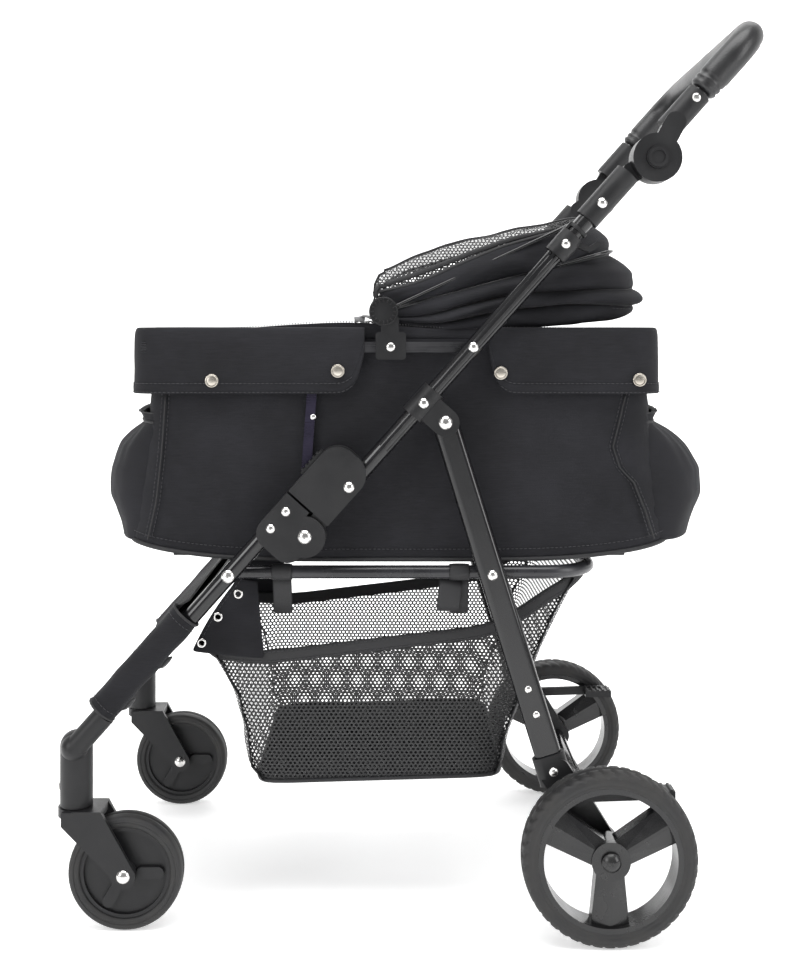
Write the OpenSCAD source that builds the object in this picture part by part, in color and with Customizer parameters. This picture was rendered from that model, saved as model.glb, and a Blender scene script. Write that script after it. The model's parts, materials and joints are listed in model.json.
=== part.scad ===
// Folding pet stroller. Millimetres, +X to the rear (handle), +Z up, floor at Z = 0.
// "Side view" points are [x, z]; the left side of the stroller is -Y.

/* [Wheels] */
// Diameter of a rear wheel
rear_wheel_d = 190; // [160:1:230]
// Width of a rear tyre
rear_tyre_w = 36; // [28:1:44]
// Distance between the middles of the rear wheels
rear_track = 482; // [470:1:580]
// Diameter of a front wheel
front_wheel_d = 127; // [105:1:150]
// Width of a front tyre
front_tyre_w = 28; // [22:1:34]
// Distance from a caster's swivel axis back to its axle
caster_trail = 56; // [40:1:66]

/* [Frame] */
// Distance between the middles of the left and right frame tubes
frame_w = 416; // [380:1:440]
// Diameter of the frame tubes
tube_d = 19; // [16:0.5:22]
// Wall of the frame tubes
tube_wall = 1.6; // [1:0.1:2.5]
// Angle of the handle tubes and front legs above the floor
tube_angle = 48.3; // [44:0.1:53]
// Height of the fold pivots above the floor
fold_h = 437; // [400:1:480]
// Distance from the fold pivot to the handle's tilt hub, along the tubes
hub_s = 569; // [500:1:640]
// Distance from the tilt hub to the far side of the grip, along the tubes
handle_len = 200; // [160:1:240]
// Distance from the fold pivot down to the caster, along the tubes
front_leg_len = 346; // [300:1:400]
// Distance between the lines of the handle tubes and the front legs
leg_offset = 34; // [28:1:42]
// Angle of the rear legs above the floor
rear_leg_angle = 72.8; // [66:0.1:80]
// Width of the flat-oval rear legs, front to back
rear_leg_w = 30; // [24:1:34]
// Thickness of the rear legs, side to side
rear_leg_t = 14; // [10:1:15]
// Diameter of the handle grip
grip_d = 33; // [28:1:38]

/* [Seat and bag] */
// Height of the middle of the seat rail
rail_h = 393; // [360:1:410]
// Diameter of the seat rail
rail_d = 15; // [12:1:16]
// Length of the seat rail behind its front pivot
rail_len = 416; // [380:1:440]
// Length of the bag
bag_len = 565; // [500:1:600]
// Width of the bag
bag_w = 366; // [330:1:368]
// Height of the bag's wall
bag_h = 254; // [220:1:256]
// Thickness of the bag's padded wall
bag_wall = 6; // [4:1:10]
// Length of the top rail in front of its pivot
top_rail_len = 176; // [150:1:200]

/* [Canopy] */
// Reach of the canopy bows from their hinge
bow_r = 278; // [240:1:300]
// Diameter of the canopy bows
bow_d = 4; // [3:0.5:4.2]
// Angles of the front, middle and rear bows above level when folded back
bow_angles = [25, 15, 7.5];

/* [Fits] */
// Gap on each side of a part that turns or slides in another
run_gap = 0.3; // [0.2:0.05:0.5]
// Gap on each side of a part that is fixed in another
fit_gap = 0.1; // [0.05:0.05:0.2]
// Diameter of the main pivot pins
pin_d = 8; // [6:0.5:9]
// Diameter of the rivets
rivet_d = 5; // [4:0.5:6]
// Diameter of the rear axle
axle_d = 10; // [8:0.5:12]

/* [Hidden] */
$fn = 48;

// the fold pivot stands where the stroller's middle is at X = 0
reach_front = front_leg_len * cos(tube_angle) + leg_offset * sin(tube_angle) + 20.55;
reach_back = (hub_s + handle_len - grip_d / 2) * cos(tube_angle) + grip_d / 2;
fold_x = (reach_front - reach_back) / 2;

// a point s along the handle tubes from the fold pivot and p towards the front of them
function on_tubes(s, p) = [fold_x + s * cos(tube_angle) - p * sin(tube_angle),
                           fold_h + s * sin(tube_angle) + p * cos(tube_angle)];

// layers across the stroller, from the middle plane outwards
tube_y = frame_w / 2;
tube_in = tube_y - tube_d / 2;
tube_out = tube_y + tube_d / 2;
leg_in = tube_in - 2.5;
leg_y = leg_in + rear_leg_t / 2;
leg_out = leg_in + rear_leg_t;
rail_y = leg_in - 1.5 - rail_d / 2;
plate_t = 2.5;
top_y = tube_in - 7.5 - plate_t / 2;
link_y = top_y - plate_t - 0.5;
shell_in = tube_in - 4.5;
shell_out = tube_out + 5;
caster_y = tube_y - 10;
wheel_y = rear_track / 2;

// pivots in the side view
leg_pivot = on_tubes(196.5, -leg_offset + 1.7);
top_pivot = on_tubes(279, 0);
hub = on_tubes(hub_s, -12);
seat_s = (rail_h - fold_h - leg_offset * cos(tube_angle)) / sin(tube_angle);
seat_pivot = on_tubes(seat_s, leg_offset);
leg_on_rail = (leg_pivot[1] - rail_h) / sin(rear_leg_angle);
link_low = on_tubes(20, leg_offset - 12);
link_top = [top_pivot[0] - top_rail_len, top_pivot[1]];
canopy_pivot = [top_pivot[0] - 99, top_pivot[1] + 40];
swivel = on_tubes(-front_leg_len, leg_offset);
front_hub = [swivel[0] + caster_trail, front_wheel_d / 2];
fork_top = front_wheel_d + 8;
axle_back = 30.8;
rear_hub = [leg_pivot[0] + (leg_pivot[1] - rear_wheel_d / 2) / tan(rear_leg_angle) + axle_back,
            rear_wheel_d / 2];
rear_leg_len = 415;
foot_at = 386;
brake_pivot = [rear_hub[0] - 29, rear_hub[1] + 56];
brake_len = 106;

// frame sleeves and housings
sleeve_d = tube_d + 8;
socket_d = tube_d + 9;
cover_from = 26;
cover_to = 104;
base_to = 23.5;
tube_start = 15;
shell_low = -11;
shell_high = leg_offset + 13;
hook_s = 431;
socket_from = 468;
tube_end = hub_s - 41;
arm_from = hub_s + 33;
arm_to = hub_s + 86;
hub_r = 27;

// handle bar
bend_r = 45;
bar_far = hub_s + handle_len - grip_d / 2;
bend_s = bar_far - bend_r;
grip_from = hub_s + 89;

// bag, basket and canopy
bag_x = fold_x - 178.5;
bag_z = rail_h + rail_d / 2 + 2;
bag_top = bag_z + bag_h;
bag_in = bag_w / 2 - bag_wall;
flap_in = top_y + plate_t / 2 + 0.6;
flap_t = 2.2;
basket_w = 340;
pin_in = bag_w / 2 - 16;

module across(q, y0, y1, d) {
  translate([q[0], min(y0, y1), q[1]]) rotate([-90, 0, 0]) cylinder(h = abs(y1 - y0), d = d);
}

// local frame on the tubes: X up along them, Y across, Z towards the front
module up_tubes(s, p, y) {
  q = on_tubes(s, p);
  translate([q[0], y, q[1]]) rotate([0, -tube_angle, 0]) children();
}

// plate with a side-view outline drawn in (s, p), between two distances from the middle
module shell_plate(side, y0, y1) {
  up_tubes(0, 0, side > 0 ? y1 : -y0) rotate([90, 0, 0]) linear_extrude(y1 - y0) children();
}

module rod_up(s0, s1, p, y, d) {
  up_tubes(s0, p, y) rotate([0, 90, 0]) cylinder(h = s1 - s0, d = d);
}

// bar with round ends; its sides may lie a hair inside the ends' tangents
module slot_2d(p, q, d, inset = 0.02) {
  a = atan2(q[1] - p[1], q[0] - p[0]);
  side = d / 2 - inset;
  translate(p) circle(d = d);
  translate(q) circle(d = d);
  translate(p) rotate(a) translate([0, -side]) square([norm(q - p), 2 * side]);
}

module round_box_2d(x0, y0, x1, y1, r) {
  translate([x0 + r, y0]) square([x1 - x0 - 2 * r, y1 - y0]);
  translate([x0, y0 + r]) square([x1 - x0, y1 - y0 - 2 * r]);
  for (x = [x0 + r, x1 - r], y = [y0 + r, y1 - r]) translate([x, y]) circle(r = r);
}

// rivet from y0 (inner) to y1 (outer) with a domed head on each end
module rivet(q, side, y0, y1, d, head) {
  across(q, side * (y0 - 0.01), side * (y1 + 0.01), d);
  for (e = [[y0, -1], [y1, 1]]) translate([q[0], side * e[0], q[1]])
    rotate([-90 * side * e[1], 0, 0]) dome(head);
}

// a sphere's cap of diameter d and a quarter as high
module dome(d) {
  rise = d / 4;
  r = (d * d / 4 + rise * rise) / (2 * rise);
  intersection() {
    translate([0, 0, rise - r]) sphere(r = r);
    cylinder(h = d, d = d);
  }
}

// ---- front frame ----
module front_leg(side) color("#1a1a1c") difference() {
  rod_up(12 - front_leg_len, base_to - 3, leg_offset, side * tube_y, tube_d);
  rod_up(11 - front_leg_len, base_to - 2, leg_offset, side * tube_y, tube_d - 2 * tube_wall);
  for (s = [7, -18]) across(on_tubes(s, leg_offset), side * 180, side * 240, rivet_d + 2 * fit_gap);
  across(seat_pivot, side * 180, side * 240, pin_d + 2 * fit_gap);
}

module base_outline() {
  round_box_2d(-38, shell_low, 2, shell_high, 18);
  translate([-20, leg_offset - 20]) square([base_to + 20, shell_high - leg_offset + 20]);
  circle(r = base_to - 0.5);
}

module fold_base(side) color("#232326") difference() {
  shell_plate(side, shell_in, shell_out) base_outline();
  // room for the lug of the handle tube, which swings down between the cheeks
  shell_plate(side, tube_in - 1.2, tube_out + 1.2)
    translate([-60, -60]) square([120, leg_offset + 60 - tube_d / 2 - 9.5]);
  rod_up(-60, base_to - 2.9, leg_offset, side * tube_y, tube_d + 2 * fit_gap);
  for (s = [7, -18])
    across(on_tubes(s, leg_offset), side * 180, side * 240, rivet_d + 2 * fit_gap);
  across([fold_x, fold_h], side * 180, side * 240, pin_d + 2 * fit_gap);
  across(link_low, side * 180, side * (shell_in + 3.2), rivet_d + 2 * fit_gap);
}

module leg_end(side) color("#232326") difference() {
  union() {
    rod_up(-front_leg_len - 2, 50 - front_leg_len, leg_offset, side * tube_y, tube_d + 6);
    translate([swivel[0], side * (tube_y - 3), swivel[1]]) sphere(d = tube_d + 12);
    translate([swivel[0], side * caster_y, fork_top + 1]) cylinder(h = swivel[1] - fork_top - 1, d = 36);
    translate([swivel[0], side * caster_y, swivel[1]]) sphere(d = 36);
  }
  rod_up(11.9 - front_leg_len, 60 - front_leg_len, leg_offset, side * tube_y, tube_d + 2 * fit_gap);
  translate([swivel[0], side * caster_y, 0]) cylinder(h = fork_top + 44, d = 12 + 2 * run_gap);
}

module cross_plate() color("#232326") {
  half = tube_y - (tube_d + 6) / 2 - 0.2;
  up_tubes(20 - front_leg_len, leg_offset - 1.5, 0) {
    translate([0, -half, 0]) cube([30, 2 * half, 3]);
    for (x = [0, 27]) translate([x, -half, -8]) cube([3, 2 * half, 9]);
  }
}

module front_panel() color("#202024") {
  inner = tube_d + 8;
  top = base_to - 176;
  low = 52 - front_leg_len;
  half = tube_y - inner / 2;
  for (side = [-1, 1]) difference() {
    rod_up(low, top, leg_offset, side * tube_y, inner + 5);
    rod_up(low - 1, top + 1, leg_offset, side * tube_y, inner);
  }
  up_tubes(low, leg_offset + 2, 0) translate([0, -half, 0]) cube([top - low, 2 * half, 5]);
}

module front_rivets() color("#c8c8cc") for (side = [-1, 1]) {
  rivet([fold_x, fold_h], side, shell_in, shell_out, pin_d, 15);
  for (s = [7, -18]) rivet(on_tubes(s, leg_offset), side, shell_in, shell_out, rivet_d, 10);
  rivet(seat_pivot, side, rail_y - rail_d / 2 - 0.6, tube_out, pin_d, 14);
  difference() {
    across(seat_pivot, side * (rail_y + rail_d / 2 + run_gap), side * (tube_in - 0.1), 14);
    across(seat_pivot, side * 150, side * 240, pin_d - 0.02);
  }
  // stud that carries the lower end of the link bar
  across(link_low, side * (link_y - 2.5), side * (shell_in + 3), rivet_d);
  translate([link_low[0], side * (link_y - 1.55), link_low[1]]) rotate([90 * side, 0, 0]) dome(7);
  // domed screw on the front of each leg end
  translate([swivel[0] - 17.8, side * caster_y, fork_top + 22]) rotate([0, -90, 0]) dome(11);
}

// ---- casters ----
module fork(side) color("#232326") difference() {
  plate_in = front_tyre_w / 2 + 3;
  plate_out = plate_in + 6;
  y = side * caster_y;
  union() {
    translate([swivel[0], y, fork_top - 10]) cylinder(h = 10, d = 40);
    translate([swivel[0], y - plate_out, fork_top - 9]) cube([32, 2 * plate_out, 9]);
    translate([swivel[0], y, fork_top - 1]) cylinder(h = 43, d = 12);
    for (e = [-1, 1]) translate([0, y + e * (plate_in + plate_out) / 2 + 3, 0])
      rotate([90, 0, 0]) linear_extrude(6) {
        polygon([[swivel[0] - 12, fork_top - 1], [swivel[0] + 32, fork_top - 1],
                 [front_hub[0] + 13, front_hub[1] + 4], [front_hub[0] - 13, front_hub[1] - 1],
                 [swivel[0] - 12, fork_top - 16]]);
        translate(front_hub) circle(r = 13.5);
      }
  }
  across(front_hub, y - 60, y + 60, pin_d + 2 * fit_gap);
}

module front_axle(side) color("#c8c8cc") {
  reach = front_tyre_w / 2 + 9;
  across(front_hub, side * caster_y - reach, side * caster_y + reach, pin_d);
  for (e = [-1, 1]) translate([front_hub[0], side * caster_y + e * reach, front_hub[1]])
    rotate([-90 * e, 0, 0]) dome(15);
}

// three pill-shaped reliefs on each face of a solid disc
module front_wheel(side) color("#202022") difference() {
  rim_r = front_wheel_d / 2 - 11;
  w = front_tyre_w - 8;
  translate([front_hub[0], side * caster_y, front_hub[1]]) rotate([90, 0, 0]) {
    cylinder(h = w - 8, r = rim_r - 6, center = true);
    difference() {
      cylinder(h = w, r = rim_r, center = true);
      cylinder(h = w + 1, r = rim_r - 6.5, center = true);
    }
    cylinder(h = front_tyre_w + 4, d = 24, center = true);
    for (e = [-1, 1], k = [0:2]) rotate(120 * k + 30) translate([0, 0, e * (w / 2 - 1.5) - 2.5])
      linear_extrude(5) slot_2d([0, 19], [0, rim_r - 16], 13);
  }
  across(front_hub, side * caster_y - 60, side * caster_y + 60, pin_d + 2 * run_gap);
}

module tyre(r, rim_r, w, round_r) {
  rotate_extrude($fn = 96) intersection() {
    round_box_2d(rim_r - 8, -w / 2, r, w / 2, round_r);
    translate([rim_r, -w]) square([r, 2 * w]);
  }
}

module front_tyre(side) color("#161617")
  translate([front_hub[0], side * caster_y, front_hub[1]]) rotate([90, 0, 0])
    tyre(front_wheel_d / 2, front_wheel_d / 2 - 11 + fit_gap, front_tyre_w, 9);

// ---- handle frame ----
module handle_tube(side) color("#1a1a1c") difference() {
  rod_up(tube_start, tube_end, 0, side * tube_y, tube_d);
  rod_up(tube_start - 1, tube_end + 1, 0, side * tube_y, tube_d - 2 * tube_wall);
  for (s = [73, 196.5, hook_s, socket_from + 23])
    across(on_tubes(s, 0), side * 180, side * 240, rivet_d + 2 * fit_gap);
  across(top_pivot, side * 180, side * 240, rivet_d + 1 + 2 * fit_gap);
}

// upper housing with the lug that turns about the fold pivot
module fold_cover(side) color("#232326") difference() {
  union() {
    shell_plate(side, shell_in, shell_out) {
      round_box_2d(cover_from + 10, shell_low, cover_to, shell_high, 24);
      translate([cover_from, shell_low]) square([40, shell_high - shell_low]);
    }
    shell_plate(side, tube_in - 0.8, tube_out + 0.8) {
      circle(r = 11);
      translate([0, -10]) square([cover_from + 2, 20]);
    }
  }
  rod_up(tube_start - fit_gap, cover_to + 5, 0, side * tube_y, tube_d + 2 * fit_gap);
  across([fold_x, fold_h], side * 180, side * 240, pin_d + 2 * run_gap);
  across(on_tubes(73, 0), side * 180, side * 240, rivet_d + 2 * fit_gap);
  // slot that the latch slides in
  up_tubes(48, shell_high - 12, side * tube_y) translate([0, -4.3, 0]) cube([34, 8.6, 20]);
}

module fold_latches() color("#2a2a2e") for (side = [-1, 1]) {
  up_tubes(58, shell_high, side * tube_y) {
    translate([0, -4, -11.5]) cube([16, 8, 13]);
    translate([-9, -9, run_gap]) cube([34, 18, 3]);
    for (x = [-6, 0, 6, 12, 18]) translate([x, -9, 3]) cube([2.5, 18, 2]);
  }
}

module leg_bracket(side) color("#232326") difference() {
  union() {
    rod_up(178, 215, 0, side * tube_y, sleeve_d);
    shell_plate(side, leg_out + 0.8, leg_out + 7.3) {
      translate([181, -leg_offset + 1.7]) square([31, leg_offset]);
      translate([196.5, -leg_offset + 1.7]) circle(r = 15.5);
    }
  }
  rod_up(170, 220, 0, side * tube_y, tube_d + 2 * fit_gap);
  across(leg_pivot, side * 180, side * 240, pin_d + 2 * fit_gap);
  across(on_tubes(196.5, 0), side * 180, side * 240, rivet_d + 2 * fit_gap);
}

module hook_clips() color("#232326") for (side = [-1, 1]) difference() {
  union() {
    rod_up(hook_s - 16, hook_s + 14, 0, side * tube_y, sleeve_d);
    rod_up(hook_s + 20, hook_s + 24, 0, side * tube_y, tube_d + 5);
    shell_plate(side, tube_y - 6, tube_y + 6) {
      slot_2d([hook_s + 8, -8], [hook_s + 14, -24], 6);
      slot_2d([hook_s + 14, -24], [hook_s + 24, -27], 6);
      slot_2d([hook_s, 11], [hook_s + 22, 10.5], 3);
    }
  }
  rod_up(hook_s - 30, hook_s + 30, 0, side * tube_y, tube_d + 2 * fit_gap);
  across(on_tubes(hook_s, 0), side * 180, side * 240, rivet_d + 2 * fit_gap);
}

module handle_socket(side) color("#232326") difference() {
  inner = tube_y - socket_d / 2;
  union() {
    rod_up(socket_from, tube_end + 8, 0, side * tube_y, socket_d);
    shell_plate(side, inner, tube_y - run_gap) {
      translate([hub_s, -12]) circle(r = hub_r);
      slot_2d([tube_end + 12, -3], [hub_s, -11], socket_d - 5);
    }
  }
  rod_up(socket_from - 1, tube_end + 0.2, 0, side * tube_y, tube_d + 2 * fit_gap);
  across(on_tubes(socket_from + 23, 0), side * 180, side * 240, rivet_d + 2 * fit_gap);
  across(hub, side * 180, side * 240, pin_d + 2 * fit_gap);
}

module handle_rivets() color("#c8c8cc") for (side = [-1, 1]) {
  rivet(on_tubes(73, 0), side, shell_in, shell_out, rivet_d, 12);
  rivet(on_tubes(196.5, 0), side, tube_y - sleeve_d / 2 + 0.3, tube_y + sleeve_d / 2 - 0.3, rivet_d, 11);
  rivet(leg_pivot, side, leg_in - 0.6, leg_out + 7.3, pin_d, 15);
  rivet(top_pivot, side, top_y - plate_t / 2 - run_gap, tube_out - 0.3, rivet_d + 1, 11);
  rivet(on_tubes(hook_s, 0), side, tube_y - sleeve_d / 2 + 0.3, tube_y + sleeve_d / 2 - 0.3, rivet_d, 10);
  rivet(on_tubes(socket_from + 23, 0), side, tube_y - socket_d / 2 + 0.3, tube_y + socket_d / 2 - 0.3,
        rivet_d, 11);
  rivet(hub, side, tube_y - socket_d / 2, tube_y + 5, pin_d, 13);
  difference() {
    across(top_pivot, side * (top_y + plate_t / 2 + run_gap), side * (tube_in - 0.1), 11);
    across(top_pivot, side * 150, side * 240, rivet_d + 0.98);
  }
}

module handle_arm(side) color("#232326") difference() {
  outer = tube_y + socket_d / 2;
  union() {
    rod_up(arm_from, arm_to, 0, side * tube_y, socket_d);
    shell_plate(side, tube_y + run_gap, outer) {
      translate([hub_s, -12]) circle(r = hub_r);
      slot_2d([hub_s, -11], [arm_from + 9, -1], socket_d - 5);
    }
  }
  rod_up(arm_from + 3, arm_to + 5, 0, side * tube_y, tube_d + 2 * fit_gap);
  across(hub, side * (tube_y - 1), side * (tube_y + 8), 14 + 2 * run_gap);
  // pocket for the push button
  across(hub, side * (outer - 6), side * (outer + 5), 25 + 2 * run_gap);
}

// the U of the handle from one side's straight to the other's, d across;
// the bends are a hair thinner, as a tube thins where it is bent
module handle_path(d, from_s) {
  for (side = [-1, 1]) {
    up_tubes(bend_s, 0, side * (tube_y - bend_r)) rotate([0, 0, side > 0 ? 0 : -90])
      rotate_extrude(angle = 90) translate([bend_r, 0]) circle(d = d - 0.6);
    rod_up(from_s, bend_s + 0.5, 0, side * tube_y, d);
  }
  up_tubes(bar_far, 0, 0) rotate([90, 0, 0])
    cylinder(h = 2 * (tube_y - bend_r) + 1, d = d, center = true);
}

module handle_bar() color("#1a1a1c") handle_path(tube_d, arm_from + 4);

module handle_grip() color("#26262a") difference() {
  handle_path(grip_d, grip_from);
  handle_path(tube_d + 2 * fit_gap, grip_from - 5);
}

module tilt_button(side) color("#2a2a2e") {
  outer = tube_y + socket_d / 2;
  across(hub, side * (outer - 1.7), side * (outer + 3.5), 25);
  difference() {
    across(hub, side * (outer + 3.4), side * (outer + 4.8), 22);
    across(hub, side * (outer + 3), side * (outer + 5), 15);
  }
}

// ---- rear frame ----
// a point l down the rear leg from its pivot, and behind its middle line
function down(l, back) = [leg_pivot[0] + l * cos(rear_leg_angle) + back * sin(rear_leg_angle),
                          leg_pivot[1] - l * sin(rear_leg_angle) + back * cos(rear_leg_angle)];

module leg_prism(side, l0, l1, w, t, inset = 0.02) {
  q = down(l0, 0);
  translate([q[0], side * leg_y, q[1]]) rotate([0, 90 + rear_leg_angle, 0]) rotate([0, 0, 90])
    linear_extrude(l1 - l0) rotate(90) slot_2d([-(w - t) / 2, 0], [(w - t) / 2, 0], t, inset);
}

module rear_leg(side) color("#1a1a1c") difference() {
  union() {
    leg_prism(side, 0, rear_leg_len, rear_leg_w, rear_leg_t, 0);
    across(leg_pivot, side * leg_in, side * leg_out, rear_leg_w);
  }
  leg_prism(side, 30, rear_leg_len + 1, rear_leg_w - 4, rear_leg_t - 4, 0);
  across(leg_pivot, side * 150, side * 260, pin_d + 2 * run_gap);
  across(down(leg_on_rail, 0), side * 150, side * 260, rivet_d + 2 * fit_gap);
  across(down(foot_at + 18, 0), side * 150, side * 260, rivet_d + 2 * fit_gap);
}

module rear_foot(side) color("#232326") difference() {
  union() {
    leg_prism(side, foot_at, rear_leg_len + 3, rear_leg_w + 7, rear_leg_t + 6);
    translate([0, side > 0 ? leg_out + 3 : -leg_in + 3, 0]) rotate([90, 0, 0])
      linear_extrude(rear_leg_t + 6) {
        low = down(rear_leg_len + 2, 0);
        polygon([low + [-17, 3], low + [20, 12], rear_hub + [17, 2], rear_hub + [-14, -9]]);
        translate(rear_hub) circle(r = 17);
        slot_2d(down(foot_at + 16, 8), brake_pivot, 20);
      }
  }
  leg_prism(side, foot_at - 5, rear_leg_len + 0.2, rear_leg_w + 2 * fit_gap, rear_leg_t + 2 * fit_gap);
  across(rear_hub, side * 150, side * 260, axle_d + 2 * fit_gap);
  across(down(foot_at + 18, 0), side * 150, side * 260, rivet_d + 2 * fit_gap);
  across(brake_pivot, side * 150, side * 260, rivet_d + 2 * fit_gap);
}

module rear_axle() color("#b8b8bc") {
  reach = wheel_y + rear_tyre_w / 2 + 1;
  across(rear_hub, -reach, reach, axle_d);
  for (side = [-1, 1]) {
    across(rear_hub, side * (reach - 0.01), side * (reach + 2), 21);
    translate([rear_hub[0], side * (reach + 2), rear_hub[1]]) rotate([-90 * side, 0, 0]) dome(20);
  }
}

module cross_tube() color("#1a1a1c") difference() {
  across(rear_hub, -(leg_in - 3.2), leg_in - 3.2, tube_d);
  across(rear_hub, -260, 260, axle_d + 1);
}

module rear_rivets() color("#c8c8cc") for (side = [-1, 1]) {
  // its inner washer stops short of the seat rail
  across(down(leg_on_rail, 0), side * (leg_in - 1.2), side * leg_out, rivet_d);
  across(down(leg_on_rail, 0), side * (leg_in - 1.2), side * (leg_in - 0.1), 12);
  translate([down(leg_on_rail, 0)[0], side * leg_out, down(leg_on_rail, 0)[1]])
    rotate([-90 * side, 0, 0]) dome(11);
  rivet(down(foot_at + 18, 0), side, leg_in - 3, leg_out + 3, rivet_d, 10);
  rivet(brake_pivot, side, leg_in - 3, leg_out + 10, rivet_d, 11);
}

module brake_pedal(side) color("#232326") difference() {
  y0 = leg_out + 3 + run_gap;
  y1 = y0 + 6.4;
  tip = brake_pivot + [brake_len, 3];
  union() {
    translate([0, side > 0 ? y1 : -y0, 0]) rotate([90, 0, 0]) linear_extrude(y1 - y0) {
      translate(brake_pivot) circle(r = 11);
      slot_2d(brake_pivot, tip - [12, 0], 11);
    }
    translate([tip[0] - 36, side > 0 ? y1 - 24 : -y1, tip[1] - 5.5]) cube([36, 24, 9]);
    for (k = [0:4]) translate([tip[0] - 34 + 7.5 * k, side * (y1 - 12), tip[1] + 3.5])
      rotate([90, 0, 0]) cylinder(h = 24, d = 4, center = true);
  }
  across(brake_pivot, side * 150, side * 260, rivet_d + 2 * run_gap);
}

// rim with three folded spokes, one of them straight down
module rear_rim(side) color("#161618") difference() {
  ring_r = rear_wheel_d / 2 - 17;
  translate([rear_hub[0], side * wheel_y, rear_hub[1]]) rotate([90, 0, 0]) {
    difference() {
      cylinder(h = rear_tyre_w - 4, r = ring_r, center = true, $fn = 96);
      cylinder(h = rear_tyre_w, r = ring_r - 6, center = true, $fn = 96);
    }
    cylinder(h = rear_tyre_w - 2, d = 42, center = true);
    for (k = [0:2]) rotate(120 * k - 90) hull() {
      translate([14, 0, 0]) cube([1, 30, rear_tyre_w - 16], center = true);
      translate([14, 0, 0]) cube([1, 4, rear_tyre_w - 6], center = true);
      translate([ring_r - 4, 0, 0]) cube([1, 42, rear_tyre_w - 20], center = true);
      translate([ring_r - 4, 0, 0]) cube([1, 4, rear_tyre_w - 12], center = true);
    }
  }
  across(rear_hub, side * 150, side * 300, axle_d + 2 * run_gap);
}

module rear_tyre(side) color("#161617")
  translate([rear_hub[0], side * wheel_y, rear_hub[1]]) rotate([90, 0, 0])
    tyre(rear_wheel_d / 2, rear_wheel_d / 2 - 17 + fit_gap, rear_tyre_w, 11);

// ---- seat, bag and basket ----
module seat_rail() color("#1a1a1c") difference() {
  rail_bend = 60;
  rear_x = seat_pivot[0] + rail_len - rail_d / 2;
  union() {
    for (side = [-1, 1]) {
      translate([seat_pivot[0], side * rail_y, rail_h]) rotate([0, 90, 0])
        cylinder(h = rail_len - rail_bend - rail_d / 2, d = rail_d);
      across(seat_pivot, side * (rail_y - rail_d / 2), side * (rail_y + rail_d / 2), rail_d + 3);
      translate([rear_x - rail_bend, side * (rail_y - rail_bend), rail_h])
        rotate([0, 0, side > 0 ? 0 : -90]) rotate_extrude(angle = 90)
          translate([rail_bend, 0]) circle(d = rail_d);
    }
    translate([rear_x, 0, rail_h]) rotate([90, 0, 0])
      cylinder(h = 2 * (rail_y - rail_bend), d = rail_d, center = true);
  }
  across(seat_pivot, -260, 260, pin_d + 2 * run_gap);
}

module base_board() color("#3a3a3e")
  translate([bag_x + bag_wall + 22, -(bag_in - 4), bag_z + bag_wall + 0.5])
    cube([bag_len - 2 * bag_wall - 44, 2 * bag_in - 8, 5]);

module bag_outline(inset) {
  round_box_2d(bag_x + inset, bag_z + inset, bag_x + bag_len - inset, bag_top + 60, 30 - inset);
}

// bag with its front and rear pockets and the flaps round its rim, one sewn piece
module bag_body() color("#202024") difference() {
  union() {
    intersection() {
      translate([0, bag_w / 2, 0]) rotate([90, 0, 0]) linear_extrude(bag_w) bag_outline(0);
      translate([-600, -300, 0]) cube([1200, 600, bag_top]);
    }
    // pockets bulging from the ends
    for (e = [[bag_x, -1, 28, 62], [bag_x + bag_len, 1, 45, 66]])
      translate([e[0], 130, bag_z + 82]) rotate([90, 0, 0]) linear_extrude(260)
        intersection() {
          round_box_2d(-e[2], -e[3], e[2], e[3], e[2] - 4);
          translate([e[1] > 0 ? -4 : -80, -80]) square([84, 160]);
        }
    // flaps: a front and a rear skirt outside the top rail
    for (f = [[bag_x - 10, canopy_pivot[0] - 21], [top_pivot[0] + 30, bag_x + bag_len + 12]])
      difference() {
        translate([f[0], -flap_in - flap_t, bag_top - 60])
          cube([f[1] - f[0], 2 * (flap_in + flap_t), 72]);
        translate([f[0] < -200 ? f[0] + flap_t : f[0] - 1, -flap_in, bag_top - 61])
          cube([f[1] - f[0] - flap_t + 1, 2 * flap_in, 60]);
        translate([-600, -bag_in, bag_top - 20]) cube([1200, 2 * bag_in, 60]);
      }
  }
  translate([0, bag_in, 0]) rotate([90, 0, 0]) linear_extrude(2 * bag_in) bag_outline(bag_wall);
}

// open mesh basket under the seat rail
module basket() color("#28282c") {
  back = seat_pivot[0] + rail_len;
  outline = [[back - 450, rail_h - 88], [back - 408, 200], [back - 394, 150], [back - 106, 156],
             [back - 100, 200], [back - 60, 290], [back - 20, rail_h - 24]];
  difference() {
    translate([0, basket_w / 2, 0]) rotate([90, 0, 0]) linear_extrude(basket_w) polygon(outline);
    translate([0, basket_w / 2 - 4, 0]) rotate([90, 0, 0]) linear_extrude(basket_w - 8)
      polygon([outline[0] + [5, 40], outline[0] + [5, 0], outline[1] + [5, 2], outline[2] + [3, 4],
               outline[3] + [-3, 4], outline[4] + [-5, 2], outline[5] + [-5, 2],
               outline[6] + [-6, 2], outline[6] + [-6, 60]]);
  }
}

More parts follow.
